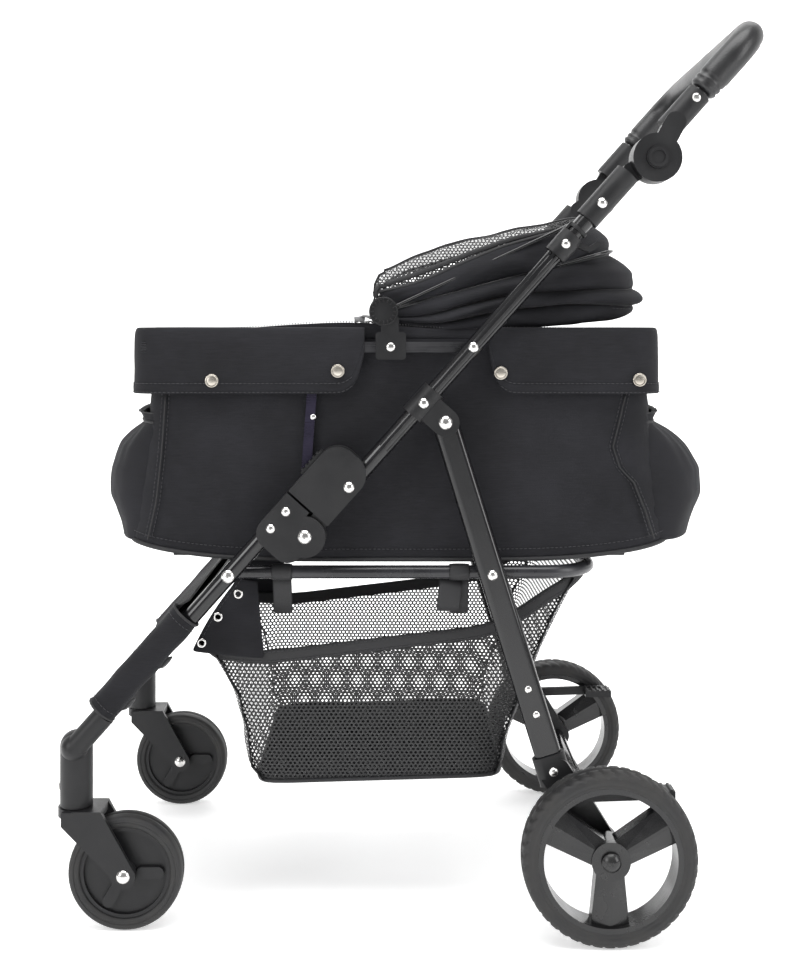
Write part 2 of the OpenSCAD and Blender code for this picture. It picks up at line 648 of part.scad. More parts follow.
// ---- top frame and canopy ----
module top_rail() color("#8a8a90") difference() {
  front_x = bag_x + 12;
  union() {
    for (side = [-1, 1]) {
      translate([front_x, side * top_y - plate_t / 2, top_pivot[1] - 6])
        cube([top_pivot[0] - front_x, plate_t, 12]);
      across(top_pivot, side * (top_y - plate_t / 2), side * (top_y + plate_t / 2), 12);
    }
    translate([bag_x - 6, -top_y - plate_t / 2, top_pivot[1] - 6])
      cube([plate_t, 2 * top_y + plate_t, 12]);
    for (side = [-1, 1]) translate([bag_x - 6, side * top_y - plate_t / 2, top_pivot[1] - 6])
      cube([20, plate_t, 12]);
  }
  across(top_pivot, -260, 260, rivet_d + 1 + 2 * run_gap);
  across(link_top, -260, 260, rivet_d + 2 * fit_gap);
  across([canopy_pivot[0] + 8, top_pivot[1]], -260, 260, rivet_d + 2 * fit_gap);
}

// hinge plate and disc on each side, with the pin that the bows turn on
module canopy_hinges() color("#26262a") for (side = [-1, 1]) {
  y0 = top_y + plate_t / 2 + 0.2;
  y1 = y0 + 4.5;
  foot = [canopy_pivot[0] + 8, top_pivot[1]];
  translate([0, side > 0 ? y1 : -y0, 0]) rotate([90, 0, 0]) linear_extrude(y1 - y0) {
    translate(canopy_pivot) circle(r = 16.5);
    round_box_2d(foot[0] - 17, foot[1] - 14, foot[0] + 17, foot[1] + 17, 4);
    translate(foot + [-11, 0]) square([20, 34]);
  }
  across(canopy_pivot, side * pin_in, side * (y0 + 0.5), rivet_d + 1);
  rivet(foot, side, top_y - plate_t / 2, y1, rivet_d, 10);
}

module link_bars() color("#2a2630") for (side = [-1, 1]) difference() {
  union() {
    translate([0, side * link_y + plate_t / 2, 0]) rotate([90, 0, 0]) linear_extrude(plate_t)
      slot_2d(link_low, link_top, 11);
    across(link_top, side * (link_y + plate_t / 2), side * (link_y + plate_t / 2 + 0.2), 11);
  }
  across(link_low, side * 150, side * 260, rivet_d + 2 * run_gap);
}

// bow number n: eyes on the hinge pin, two arms and a bent cross piece
module bow(n) {
  y = bag_w / 2 - 3.4 - 4.6 * n;
  reach = bow_r - 4 * n;
  bend = 40;
  difference() {
    translate([canopy_pivot[0], 0, canopy_pivot[1]]) rotate([0, -bow_angles[n], 0]) {
      for (side = [-1, 1]) {
        translate([0, side * y, 0]) rotate([90, 0, 0]) cylinder(h = bow_d, d = 14, center = true);
        translate([5, side * y, 0]) rotate([0, 90, 0]) cylinder(h = reach - bend - 5, d = bow_d);
        translate([reach - bend, side * (y - bend), 0]) rotate([0, 0, side > 0 ? 0 : -90])
          rotate_extrude(angle = 90) translate([bend, 0]) circle(d = bow_d);
      }
      translate([reach, 0, 0]) rotate([90, 0, 0])
        cylinder(h = 2 * (y - bend), d = bow_d, center = true);
    }
    across(canopy_pivot, -260, 260, rivet_d + 1 + 2 * run_gap);
  }
}

// folded cloth between two directions from the canopy's hinge
module canopy_fold(a0, a1, r0, r1, half) {
  translate([canopy_pivot[0], half, canopy_pivot[1]]) rotate([90, 0, 0])
    linear_extrude(2 * half)
      polygon([r0 * [cos(a0), sin(a0)], r1 * [cos(a0), sin(a0)],
               (r1 + 12) * [cos((a0 + a1) / 2), sin((a0 + a1) / 2)],
               r1 * [cos(a1), sin(a1)], r0 * [cos(a1), sin(a1)]]);
}

module canopy_front() color("#202024") canopy_fold(16.5, 23.5, 60, 262, 150);
module canopy_mid() color("#202024") canopy_fold(8.8, 13.7, 60, 258, 150);
module canopy_rear() color("#202024") canopy_fold(-1, 6, 60, 254, 150);

front_leg(-1);  // front_leg_left
front_leg(1);  // front_leg_right
fold_base(-1);  // fold_base_left
fold_base(1);  // fold_base_right
leg_end(-1);  // leg_end_left
leg_end(1);  // leg_end_right
cross_plate();
front_panel();
front_rivets();
fork(-1);  // fork_left
fork(1);  // fork_right
front_axle(-1);  // front_axle_left
front_axle(1);  // front_axle_right
front_wheel(-1);  // front_wheel_left
front_wheel(1);  // front_wheel_right
front_tyre(-1);  // front_tyre_left
front_tyre(1);  // front_tyre_right
handle_tube(-1);  // handle_tube_left
handle_tube(1);  // handle_tube_right
fold_cover(-1);  // fold_cover_left
fold_cover(1);  // fold_cover_right
fold_latches();
leg_bracket(-1);  // leg_bracket_left
leg_bracket(1);  // leg_bracket_right
hook_clips();
handle_socket(-1);  // handle_socket_left
handle_socket(1);  // handle_socket_right
handle_rivets();
handle_arm(-1);  // handle_arm_left
handle_arm(1);  // handle_arm_right
handle_bar();
handle_grip();
tilt_button(-1);  // tilt_button_left
tilt_button(1);  // tilt_button_right
rear_leg(-1);  // rear_leg_left
rear_leg(1);  // rear_leg_right
rear_foot(-1);  // rear_foot_left
rear_foot(1);  // rear_foot_right
rear_axle();
cross_tube();
rear_rivets();
brake_pedal(-1);  // brake_pedal_left
brake_pedal(1);  // brake_pedal_right
rear_rim(-1);  // rear_rim_left
rear_rim(1);  // rear_rim_right
rear_tyre(-1);  // rear_tyre_left
rear_tyre(1);  // rear_tyre_right
seat_rail();
base_board();
basket();
bag_body();
top_rail();
canopy_hinges();
link_bars();
color("#1a1a1c") bow(0);  // bow_front
color("#1a1a1c") bow(1);  // bow_mid
color("#1a1a1c") bow(2);  // bow_rear
canopy_front();
canopy_mid();
canopy_rear();
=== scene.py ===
import json
import math

import bpy
from mathutils import Matrix, Vector, noise


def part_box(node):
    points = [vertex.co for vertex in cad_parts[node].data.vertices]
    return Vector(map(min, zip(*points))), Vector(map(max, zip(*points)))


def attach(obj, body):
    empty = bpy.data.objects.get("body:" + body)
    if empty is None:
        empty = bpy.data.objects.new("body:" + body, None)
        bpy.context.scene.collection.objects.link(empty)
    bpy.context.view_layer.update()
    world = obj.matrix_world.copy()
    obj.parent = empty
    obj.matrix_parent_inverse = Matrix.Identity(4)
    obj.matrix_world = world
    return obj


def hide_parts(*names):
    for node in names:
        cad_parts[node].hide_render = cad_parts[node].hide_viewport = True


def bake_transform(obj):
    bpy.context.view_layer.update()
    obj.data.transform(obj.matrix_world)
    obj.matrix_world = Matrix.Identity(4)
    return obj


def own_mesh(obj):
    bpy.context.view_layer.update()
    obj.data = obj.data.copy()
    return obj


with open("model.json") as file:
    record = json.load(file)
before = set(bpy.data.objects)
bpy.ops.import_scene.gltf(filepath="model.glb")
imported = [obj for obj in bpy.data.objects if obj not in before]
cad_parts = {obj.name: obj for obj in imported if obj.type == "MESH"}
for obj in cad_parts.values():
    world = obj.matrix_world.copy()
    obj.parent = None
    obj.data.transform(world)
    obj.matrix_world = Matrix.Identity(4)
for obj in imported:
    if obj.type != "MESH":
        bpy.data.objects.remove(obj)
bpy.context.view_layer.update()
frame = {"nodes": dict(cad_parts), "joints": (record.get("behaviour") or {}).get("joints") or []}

# ---- camera, floor and light ----
# A level camera at elbow height looks square at the side of the stroller. The
# floor runs up behind it in one pale sweep, and three large soft lamps light it.
camera_data = bpy.data.cameras.new("side_camera")
camera_data.lens = 48.74
camera_data.shift_x = 0.0124
camera_data.shift_y = -0.147
camera = bpy.data.objects.new("side_camera", camera_data)
camera.location = (-0.029, -1.66, 0.651)
camera.rotation_euler = (math.radians(90), 0, 0)
bpy.context.scene.collection.objects.link(camera)
bpy.context.scene.camera = camera


def grid(rows, around=False):
    """Quads between rows of points; around joins the end of each row to its start."""
    across = len(rows[0])
    faces = []
    for r in range(len(rows) - 1):
        for c in range(across if around else across - 1):
            d = (c + 1) % across
            faces.append((r * across + c, r * across + d, (r + 1) * across + d, (r + 1) * across + c))
    return [Vector(p) for row in rows for p in row], faces


def make(name, parts, material, smooth=True):
    """One object from several lists of points and faces."""
    points, faces = [], []
    for part_points, part_faces in parts:
        start = len(points)
        points += part_points
        faces += [tuple(start + i for i in face) for face in part_faces]
    mesh = bpy.data.meshes.new(name)
    mesh.from_pydata([tuple(p) for p in points], [], faces)
    mesh.update()
    for face in mesh.polygons:
        face.use_smooth = smooth
    obj = bpy.data.objects.new(name, mesh)
    bpy.context.scene.collection.objects.link(obj)
    obj.data.materials.append(material)
    return obj


def start_material(name, colour, rough, sockets=()):
    material = bpy.data.materials.new(name)
    material.use_nodes = True
    shader = material.node_tree.nodes["Principled BSDF"]
    shader.inputs["Base Color"].default_value = (*colour, 1)
    shader.inputs["Roughness"].default_value = rough
    for socket, value in dict(sockets).items():
        shader.inputs[socket].default_value = value
    return material, material.node_tree, shader


backdrop_paint, _, _ = start_material(
    "pale_studio_paper", (0.92, 0.92, 0.92), 0.9,
    {"Emission Color": (1, 1, 1, 1), "Emission Strength": 0.45},
)
sweep = [(y, 0.0) for y in (-14.0, -2.0, 0.0, 1.2)]
sweep += [(1.2 + 1.5 * math.sin(a), 1.5 - 1.5 * math.cos(a)) for a in (0.3, 0.6, 0.9, 1.2, 1.57)]
sweep += [(2.7, 5.0)]
floor = make(
    "studio_floor",
    [grid([[(x, y, z) for x in (-14.0, 14.0)] for y, z in sweep])],
    backdrop_paint,
)


def soft_lamp(name, place, aim, size, power):
    lamp = bpy.data.lights.new(name, "AREA")
    lamp.shape = "RECTANGLE"
    lamp.size, lamp.size_y = size
    lamp.energy = power
    obj = bpy.data.objects.new(name, lamp)
    obj.location = place
    obj.rotation_euler = (Vector(aim) - Vector(place)).to_track_quat("-Z", "Y").to_euler()
    bpy.context.scene.collection.objects.link(obj)


soft_lamp("overhead_lamp", (0.0, -0.6, 2.6), (0, 0, 0.4), (2.4, 1.6), 60)
soft_lamp("front_lamp", (-2.2, -1.9, 1.5), (0, 0, 0.5), (1.2, 1.8), 34)
soft_lamp("rear_lamp", (2.3, -1.4, 1.3), (0, 0, 0.5), (1.0, 1.8), 26)
soft_lamp("backdrop_lamp", (0.0, 1.2, 2.6), (0, 2.7, 0.6), (3.0, 0.8), 40)
world = bpy.data.worlds.new("studio_air")
world.use_nodes = True
world.node_tree.nodes["Background"].inputs["Color"].default_value = (1, 1, 1, 1)
world.node_tree.nodes["Background"].inputs["Strength"].default_value = 0.35
bpy.context.scene.world = world
bpy.context.scene.view_settings.view_transform = "Standard"


# ---- painted steel tubes ----
# Legs, handle tubes and cross tube are drawn steel with a gloss black powder
# coat, which keeps a faint orange peel and dulls where hands and straps rub.
def new_group(name, inputs, outputs):
    group = bpy.data.node_groups.new(name, "ShaderNodeTree")
    for label, value in inputs:
        socket = group.interface.new_socket(label, in_out="INPUT", socket_type="NodeSocketFloat")
        socket.default_value = value
    for label in outputs:
        group.interface.new_socket(label, in_out="OUTPUT", socket_type="NodeSocketFloat")
    return group, group.nodes.new("NodeGroupInput"), group.nodes.new("NodeGroupOutput")


def math_node(tree, operation, first, second=None, clamp=False):
    node = tree.nodes.new("ShaderNodeMath")
    node.operation = operation
    node.use_clamp = clamp
    for socket, value in zip(node.inputs, (first, second)):
        if value is None:
            continue
        if isinstance(value, (int, float)):
            socket.default_value = value
        else:
            tree.links.new(value, socket)
    return node.outputs[0]


def noise_node(tree, vector, scale, detail=3.0):
    node = tree.nodes.new("ShaderNodeTexNoise")
    node.inputs["Detail"].default_value = detail
    tree.links.new(vector, node.inputs["Vector"])
    if isinstance(scale, (int, float)):
        node.inputs["Scale"].default_value = scale
    else:
        tree.links.new(scale, node.inputs["Scale"])
    return node.outputs[0]


def contrast(tree, value, low, high):
    node = tree.nodes.new("ShaderNodeMapRange")
    node.inputs["From Min"].default_value = low
    node.inputs["From Max"].default_value = high
    tree.links.new(value, node.inputs["Value"])
    return node.outputs[0]


coat_grain, entry, leave = new_group("coat_grain", [("Peel", 400.0), ("Rub", 14.0)], ["Tone", "Height"])
spot = coat_grain.nodes.new("ShaderNodeTexCoord").outputs["Object"]
rubbed = contrast(coat_grain, noise_node(coat_grain, spot, entry.outputs["Rub"], 6.0), 0.42, 0.72)
coat_grain.links.new(rubbed, leave.inputs["Tone"])
peel = noise_node(coat_grain, spot, entry.outputs["Peel"], 2.0)
coat_grain.links.new(peel, leave.inputs["Height"])


def finish_of(name, effect, settings, dark, light, rough, bump=0.0, depth=0.0002, sockets=()):
    """A material whose colour, roughness and relief follow one of the effects."""
    material, tree, shader = start_material(name, dark, rough[0], sockets)
    node = tree.nodes.new("ShaderNodeGroup")
    node.node_tree = effect
    for label, value in settings.items():
        node.inputs[label].default_value = value
    mix = tree.nodes.new("ShaderNodeMix")
    mix.data_type = "RGBA"
    mix.inputs["A"].default_value = (*dark, 1)
    mix.inputs["B"].default_value = (*light, 1)
    tree.links.new(node.outputs["Tone"], mix.inputs["Factor"])
    tree.links.new(mix.outputs["Result"], shader.inputs["Base Color"])
    spread = tree.nodes.new("ShaderNodeMapRange")
    spread.inputs["To Min"].default_value, spread.inputs["To Max"].default_value = rough
    tree.links.new(node.outputs["Tone"], spread.inputs["Value"])
    tree.links.new(spread.outputs[0], shader.inputs["Roughness"])
    if bump:
        relief = tree.nodes.new("ShaderNodeBump")
        relief.inputs["Strength"].default_value = bump
        relief.inputs["Distance"].default_value = depth
        tree.links.new(node.outputs["Height"], relief.inputs["Height"])
        tree.links.new(relief.outputs["Normal"], shader.inputs["Normal"])
    return material


black_coat = finish_of(
    "gloss_black_coat", coat_grain, {"Peel": 500.0, "Rub": 16.0},
    (0.006, 0.006, 0.007), (0.011, 0.011, 0.012), (0.13, 0.27), 0.25, 0.0001,
    {"Coat Weight": 0.5, "Coat Roughness": 0.08, "Specular IOR Level": 0.3},
)


def dress(material, *names):
    """Every CAD piece whose name starts with one of these takes the material."""
    for node_name, obj in frame["nodes"].items():
        if node_name.startswith(names):
            obj.data.materials.clear()
            obj.data.materials.append(material)


dress(black_coat, "front_leg", "handle_tube", "handle_bar", "rear_leg", "cross_tube", "bow_")
joints = {joint["name"]: Vector(joint["pos_m"]) for joint in frame["joints"] if joint.get("pos_m")}
fold = joints["frame_fold"]
# the sewn pieces are laid out for a fold pivot at X = -0.1115 and then moved by this
aft = fold.x + 0.1115
tube_angle = math.radians(48.3)
tube_half = 0.208
up = Vector((math.cos(tube_angle), 0, math.sin(tube_angle)))
ahead = Vector((-math.sin(tube_angle), 0, math.cos(tube_angle)))


def on_tube(s, p, y):
    """A point s up the tubes from the fold pivot, p in front of them and y across."""
    return Vector((fold.x, y, fold.z)) + up * s + ahead * p


def tube(path, radius, closed=False, sides=8, flat=1.0, flat_way=None):
    """A round or flattened rod along a path; radius may be a list along it."""
    path = [Vector(p) for p in path]
    count = len(path)
    rows, side = [], None
    for i, here in enumerate(path):
        after = path[(i + 1) % count] if closed or i < count - 1 else here
        before = path[i - 1] if closed or i > 0 else here
        along = (after - before).normalized()
        if flat_way is not None:
            side = Vector(flat_way)
        elif side is None:
            side = along.orthogonal()
        side = (side - along * side.dot(along)).normalized()
        other = along.cross(side)
        r = radius[i] if isinstance(radius, (list, tuple)) else radius
        rows.append([
            here + side * (r * flat * math.cos(a)) + other * (r * math.sin(a))
            for a in (2 * math.pi * k / sides for k in range(sides))
        ])
    if closed:
        rows.append(rows[0])
    points, faces = grid(rows, True)
    if closed:
        last = len(points) - sides
        points = points[:last]
        faces = [tuple(i % last for i in face) for face in faces]
    else:
        faces += [tuple(reversed(range(sides))), tuple(range(len(points) - sides, len(points)))]
    return points, faces


# pressed ribs run along the faces of the handle tubes
rib_up = [on_tube(0.13 + 0.05 * k, 0, 0) for k in range(7)]
for side, label in ((-1, "left"), (1, "right")):
    ribs = []
    for turn in (-0.55, 0.0, 0.55):
        out = Vector((0, side * 0.0095 * math.cos(turn), 0)) + ahead * (0.0095 * math.sin(turn))
        line = [p + Vector((0, side * tube_half, 0)) + out for p in rib_up]
        ribs.append(tube(line, 0.0007, sides=6))
    ribs = make("tube_ribs_" + label, ribs, black_coat)
    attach(ribs, "handle_frame")


# ---- moulded joints ----
# Fold housings, sockets, brackets, forks, feet and pedals are moulded nylon with
# a fine spark texture, screwed or riveted on the tubes and polished by handling.
spark_grain, entry, leave = new_group("spark_grain", [("Grain", 1500.0), ("Wear", 22.0)], ["Tone", "Height"])
spot = spark_grain.nodes.new("ShaderNodeTexCoord").outputs["Object"]
handled = contrast(spark_grain, noise_node(spark_grain, spot, entry.outputs["Wear"], 5.0), 0.35, 0.7)
spark_grain.links.new(handled, leave.inputs["Tone"])
pits = noise_node(spark_grain, spot, entry.outputs["Grain"], 1.0)
soft_flow = noise_node(spark_grain, spot, 60.0, 2.0)
grain_height = math_node(spark_grain, "ADD", pits, math_node(spark_grain, "MULTIPLY", soft_flow, 0.6))
spark_grain.links.new(grain_height, leave.inputs["Height"])
black_nylon = finish_of(
    "black_moulded_nylon", spark_grain, {"Grain": 1600.0, "Wear": 24.0},
    (0.012, 0.012, 0.013), (0.019, 0.019, 0.020), (0.36, 0.5), 0.35, 0.00015,
    {"Specular IOR Level": 0.3},
)
dress(
    black_nylon, "fold_", "leg_end", "cross_plate", "fork", "leg_bracket", "hook_clips",
    "handle_socket", "handle_arm", "tilt_button", "rear_foot", "brake_pedal", "canopy_hinges",
)

# ---- rails and bars ----
# The seat rail is bent steel rod, the top rail flat bar with brushed zinc
# plating, and the thin link bars are dyed strip with a violet cast.
brushed, entry, leave = new_group("brushed_lines", [("Lines", 900.0), ("Stain", 20.0)], ["Tone", "Height"])
spot = brushed.nodes.new("ShaderNodeTexCoord").outputs["Object"]
stretch = brushed.nodes.new("ShaderNodeVectorMath")
stretch.operation = "MULTIPLY"
stretch.inputs[1].default_value = (0.03, 1, 1)
brushed.links.new(spot, stretch.inputs[0])
strokes = noise_node(brushed, stretch.outputs[0], entry.outputs["Lines"], 2.0)
stain = noise_node(brushed, spot, entry.outputs["Stain"], 5.0)
brushed_tone = math_node(brushed, "ADD", math_node(brushed, "MULTIPLY", strokes, 0.5), stain)
brushed.links.new(contrast(brushed, brushed_tone, 0.5, 1.0), leave.inputs["Tone"])
brushed.links.new(strokes, leave.inputs["Height"])
rail_zinc = finish_of(
    "brushed_zinc", brushed, {"Lines": 900.0, "Stain": 20.0},
    (0.05, 0.05, 0.055), (0.1, 0.1, 0.105), (0.2, 0.42), 0.2, 0.0001, {"Metallic": 1.0},
)
rail_black = finish_of(
    "black_rail_coat", coat_grain, {"Peel": 500.0, "Rub": 18.0},
    (0.012, 0.012, 0.014), (0.03, 0.03, 0.035), (0.22, 0.4), 0.25, 0.0001,
)
violet_strip = finish_of(
    "violet_black_strip", brushed, {"Lines": 700.0, "Stain": 24.0},
    (0.012, 0.010, 0.022), (0.03, 0.025, 0.05), (0.2, 0.38), 0.2, 0.0001, {"Metallic": 0.6},
)
dress(rail_black, "seat_rail")
dress(rail_zinc, "top_rail")
dress(violet_strip, "link_bars")

# ---- rivets, screws and axles ----
# Domed rivets and screw caps are nickel-plated steel, bright with a few fine
# scratches; the axles have the same plating.
nickel = finish_of(
    "bright_nickel", brushed, {"Lines": 600.0, "Stain": 40.0},
    (0.62, 0.61, 0.6), (0.8, 0.79, 0.77), (0.12, 0.26), 0.1, 0.00005, {"Metallic": 1.0},
)
dress(nickel, "front_rivets", "handle_rivets", "rear_rivets", "front_axle", "rear_axle")

# ---- wheels ----
# Rear wheels are glossy moulded rims on a through axle, front wheels solid
# discs in swivelling forks. Tyres are foamed rubber, pressed over the rims.
rim_plastic = finish_of(
    "glossy_wheel_plastic", coat_grain, {"Peel": 260.0, "Rub": 26.0},
    (0.009, 0.009, 0.010), (0.018, 0.018, 0.018), (0.17, 0.34), 0.2, 0.0001,
)
dress(rim_plastic, "rear_rim", "rear_axle")
dress(black_nylon, "front_wheel")
foam_rubber = finish_of(
    "foamed_rubber", spark_grain, {"Grain": 900.0, "Wear": 34.0},
    (0.013, 0.013, 0.014), (0.03, 0.029, 0.028), (0.55, 0.75), 0.5, 0.0003,
)


def tyre(centre, inner, outer, width, lugs, groove):
    """A closed tyre section swept round, with slanted grooves cut in its shoulders."""
    half = width / 2
    section = [(inner, 0.0), (inner, 0.30), (inner - 0.002, 0.36), (inner - 0.0022, 0.40), (inner, 0.44)]
    section += [(inner + 0.003, 0.475), (inner + 0.0036, 0.468), (inner + 0.0044, 0.48)]
    rise = outer - inner
    section += [(inner + rise * 0.36, 0.497), (inner + rise * 0.50, 0.50), (inner + rise * 0.56, 0.488)]
    section += [(inner + rise * 0.62, 0.496), (inner + rise * 0.70, 0.485), (inner + rise * 0.78, 0.465)]
    section += [(inner + rise * 0.86, 0.43), (inner + rise * 0.93, 0.37), (outer - 0.0006, 0.28)]
    section += [(outer - 0.0002, 0.16), (outer - 0.0001, 0.09), (outer - 0.0012, 0.04), (outer - 0.0014, 0.0)]
    loop = [(r, w * width) for r, w in section] + [(r, -w * width) for r, w in reversed(section[1:-1])]
    steps = lugs * 7
    rows = []
    for k in range(steps):
        turn = 2 * math.pi * k / steps
        row = []
        for r, w in loop:
            slant = 0.9 * abs(w) / half
            place = (turn * lugs / (2 * math.pi) + slant + (0.5 if w > 0 else 0.0)) % 1.0
            shoulder = min(1.0, max(0.0, (r - inner - rise * 0.60) / (rise * 0.12)))
            crown = 1.0 if abs(w) > half * 0.2 else 0.0
            cut = groove * shoulder * crown if place < 0.24 else 0.0
            row.append(centre + Vector(((r - cut) * math.cos(turn), w, (r - cut) * math.sin(turn))))
        rows.append(row)
    rows.append(rows[0])
    points, faces = grid(rows, True)
    last = steps * len(loop)
    return points[:last], [tuple(i % last for i in face) for face in faces]


for label in ("left", "right"):
    for wheel, rim_name, lugs, groove in (
        ("rear", "rear_rim_", 44, 0.0017),
        ("front", "front_wheel_", 24, 0.0),
    ):
        low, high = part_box(wheel + "_tyre_" + label)
        rim_low, rim_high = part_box(rim_name + label)
        centre = (low + high) / 2
        rim_radius = (rim_high.z - rim_low.z) / 2
        skin = tyre(centre, rim_radius, (high.z - low.z) / 2, high.y - low.y, lugs, groove)
        rubber = make(wheel + "_tread_" + label, [skin], foam_rubber)
        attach(rubber, wheel + "_wheel_" + label)
        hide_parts(wheel + "_tyre_" + label)

# ---- handle grip ----
# A foam sleeve covered in black leatherette is glued round the bend of the
# handle bar; a pressed band with two grooves finishes each end of it.
hide_grain, entry, leave = new_group("hide_grain", [("Pebble", 520.0), ("Wear", 16.0)], ["Tone", "Height"])
spot = hide_grain.nodes.new("ShaderNodeTexCoord").outputs["Object"]
pebble = hide_grain.nodes.new("ShaderNodeTexVoronoi")
pebble.feature = "SMOOTH_F1"
hide_grain.links.new(spot, pebble.inputs["Vector"])
hide_grain.links.new(entry.outputs["Pebble"], pebble.inputs["Scale"])
hide_grain.links.new(pebble.outputs["Distance"], leave.inputs["Height"])
hide_wear = contrast(hide_grain, noise_node(hide_grain, spot, entry.outputs["Wear"], 5.0), 0.4, 0.75)
hide_grain.links.new(hide_wear, leave.inputs["Tone"])
leatherette = finish_of(
    "black_leatherette", hide_grain, {"Pebble": 560.0, "Wear": 18.0},
    (0.012, 0.012, 0.013), (0.022, 0.022, 0.023), (0.36, 0.5), 0.6, 0.0003,
)
_, grip_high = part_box("handle_grip")
grip_radius = 0.0165
grip_from = 0.658
bend = 0.045
bar_at = (grip_high - Vector((fold.x, 0, fold.z))).dot(up) - grip_radius * 1.41


def u_path(start, far, half, corner, per_corner=14, straight=0.006):
    """Points (s, y) of a U: up one arm, round two corners and down the other arm."""
    count = max(2, int((far - corner - start) / straight))
    arm = [(start + (far - corner - start) * k / count, -half) for k in range(count)]
    turn = [math.pi / 2 * k / per_corner for k in range(per_corner + 1)]
    arm += [(far - corner + corner * math.sin(a), -half + corner - corner * math.cos(a)) for a in turn]
    count = max(2, int((half - corner) / straight))
    cross = [(far, (-half + corner) * (1 - k / count)) for k in range(1, count + 1)]
    whole = arm + cross
    return whole + [(s, -y) for s, y in reversed(whole[:-1])]


grip_line = u_path(grip_from, bar_at, tube_half, bend, straight=0.0025)
grip_radii = []
for k in range(len(grip_line)):
    end = min(k, len(grip_line) - 1 - k)
    band = {0: 0.72, 1: 0.9, 2: 0.97, 3: 0.86, 4: 0.97, 5: 0.98, 6: 0.86, 7: 0.98}.get(end, 1.0)
    grip_radii.append(grip_radius * band)
points, faces = tube([on_tube(s, 0, y) for s, y in grip_line], grip_radii, sides=28)
points = [p + Vector((0, 0, 1)) * 0.00035 * noise.noise(p * 60) for p in points]
grip_skin = make("grip_sleeve", [(points, faces)], leatherette)
seam = [on_tube(s, 0, y) - ahead * (grip_radius + 0.0001) for s, y in grip_line[9:-9]]
grip_seam = make("grip_seam", [tube(seam, 0.0007, sides=6)], leatherette)
for piece in (grip_skin, grip_seam):
    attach(piece, "handle")
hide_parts("handle_grip")

# ---- front panel ----
# A doubled polyester panel is sewn as two sleeves, pulled over the front legs
# and closed behind them with hook-and-loop tabs. Its ends have turned hems.
plain_weave, entry, leave = new_group(
    "plain_weave", [("Threads", 1300.0), ("Slub", 60.0), ("Dust", 18.0)], ["Tone", "Height"]
)


def cloth_plane(tree):
    """Coordinates along the cloth: X or Y across it and Z or Y down it."""
    place = tree.nodes.new("ShaderNodeTexCoord")
    at = tree.nodes.new("ShaderNodeSeparateXYZ")
    facing = tree.nodes.new("ShaderNodeSeparateXYZ")
    tree.links.new(place.outputs["Object"], at.inputs[0])
    tree.links.new(place.outputs["Normal"], facing.inputs[0])
    x, y, z = (math_node(tree, "ABSOLUTE", facing.outputs[k]) for k in range(3))
    end_on = math_node(tree, "GREATER_THAN", x, math_node(tree, "MAXIMUM", y, z))
    flat_on = math_node(tree, "GREATER_THAN", z, math_node(tree, "MAXIMUM", x, y))

    def choose(first, second, share):
        gap = math_node(tree, "SUBTRACT", second, first)
        return math_node(tree, "ADD", first, math_node(tree, "MULTIPLY", gap, share))

    across = choose(at.outputs[0], at.outputs[1], end_on)
    down = choose(at.outputs[2], at.outputs[1], flat_on)
    return across, down, place.outputs["Object"]


across, down, spot = cloth_plane(plain_weave)
warp = math_node(plain_weave, "SINE", math_node(plain_weave, "MULTIPLY", across, entry.outputs["Threads"]))
weft = math_node(plain_weave, "SINE", math_node(plain_weave, "MULTIPLY", down, entry.outputs["Threads"]))
crossing = math_node(plain_weave, "MULTIPLY", warp, weft)
streaks = plain_weave.nodes.new("ShaderNodeVectorMath")
streaks.operation = "MULTIPLY"
streaks.inputs[1].default_value = (1.0, 1.0, 14.0)
plain_weave.links.new(spot, streaks.inputs[0])
slub = noise_node(plain_weave, streaks.outputs[0], entry.outputs["Slub"], 4.0)
cloth_height = math_node(plain_weave, "ADD", math_node(plain_weave, "MULTIPLY", crossing, 0.5), slub)
plain_weave.links.new(cloth_height, leave.inputs["Height"])
dusty = noise_node(plain_weave, spot, entry.outputs["Dust"], 5.0)
mixed = math_node(plain_weave, "ADD", math_node(plain_weave, "MULTIPLY", slub, 0.6), dusty)
plain_weave.links.new(contrast(plain_weave, mixed, 0.6, 1.05), leave.inputs["Tone"])
cloth_look = {"Threads": 5200.0, "Slub": 70.0, "Dust": 14.0}
black_polyester = finish_of(
    "black_polyester", plain_weave, cloth_look,
    (0.0085, 0.0085, 0.0105), (0.019, 0.019, 0.0225), (0.72, 0.86), 0.55, 0.0004,
    {"Sheen Weight": 0.04, "Sheen Roughness": 0.4, "Specular IOR Level": 0.22},
)
hem_tape = finish_of(
    "black_hem_tape", plain_weave, {"Threads": 9000.0, "Slub": 180.0, "Dust": 20.0},
    (0.007, 0.007, 0.008), (0.014, 0.014, 0.016), (0.5, 0.65), 0.4, 0.0003,
)
sewing_thread = finish_of(
    "black_thread", plain_weave, {"Threads": 14000.0, "Slub": 300.0, "Dust": 60.0},
    (0.016, 0.016, 0.018), (0.035, 0.035, 0.04), (0.4, 0.55), 0.3, 0.0001,
)

cloth_thickness = 0.0014


def settle(obj, thickness=0.0, levels=1, offset=0.0):
    """Gives the cloth its thickness and smoothness and applies both."""
    if thickness:
        body = obj.modifiers.new("cloth_thickness", "SOLIDIFY")
        body.thickness = thickness
        body.offset = offset
    if levels:
        smooth = obj.modifiers.new("cloth_smoothness", "SUBSURF")
        smooth.levels = smooth.render_levels = levels
    bpy.context.view_layer.update()
    final = obj.evaluated_get(bpy.context.evaluated_depsgraph_get())
    obj.data = bpy.data.meshes.new_from_object(final)
    obj.modifiers.clear()
    return obj


def creased(point, size, depth):
    """How far cloth stands off at a point, from folds of one size."""
    return depth * noise.noise(Vector(point) / size)


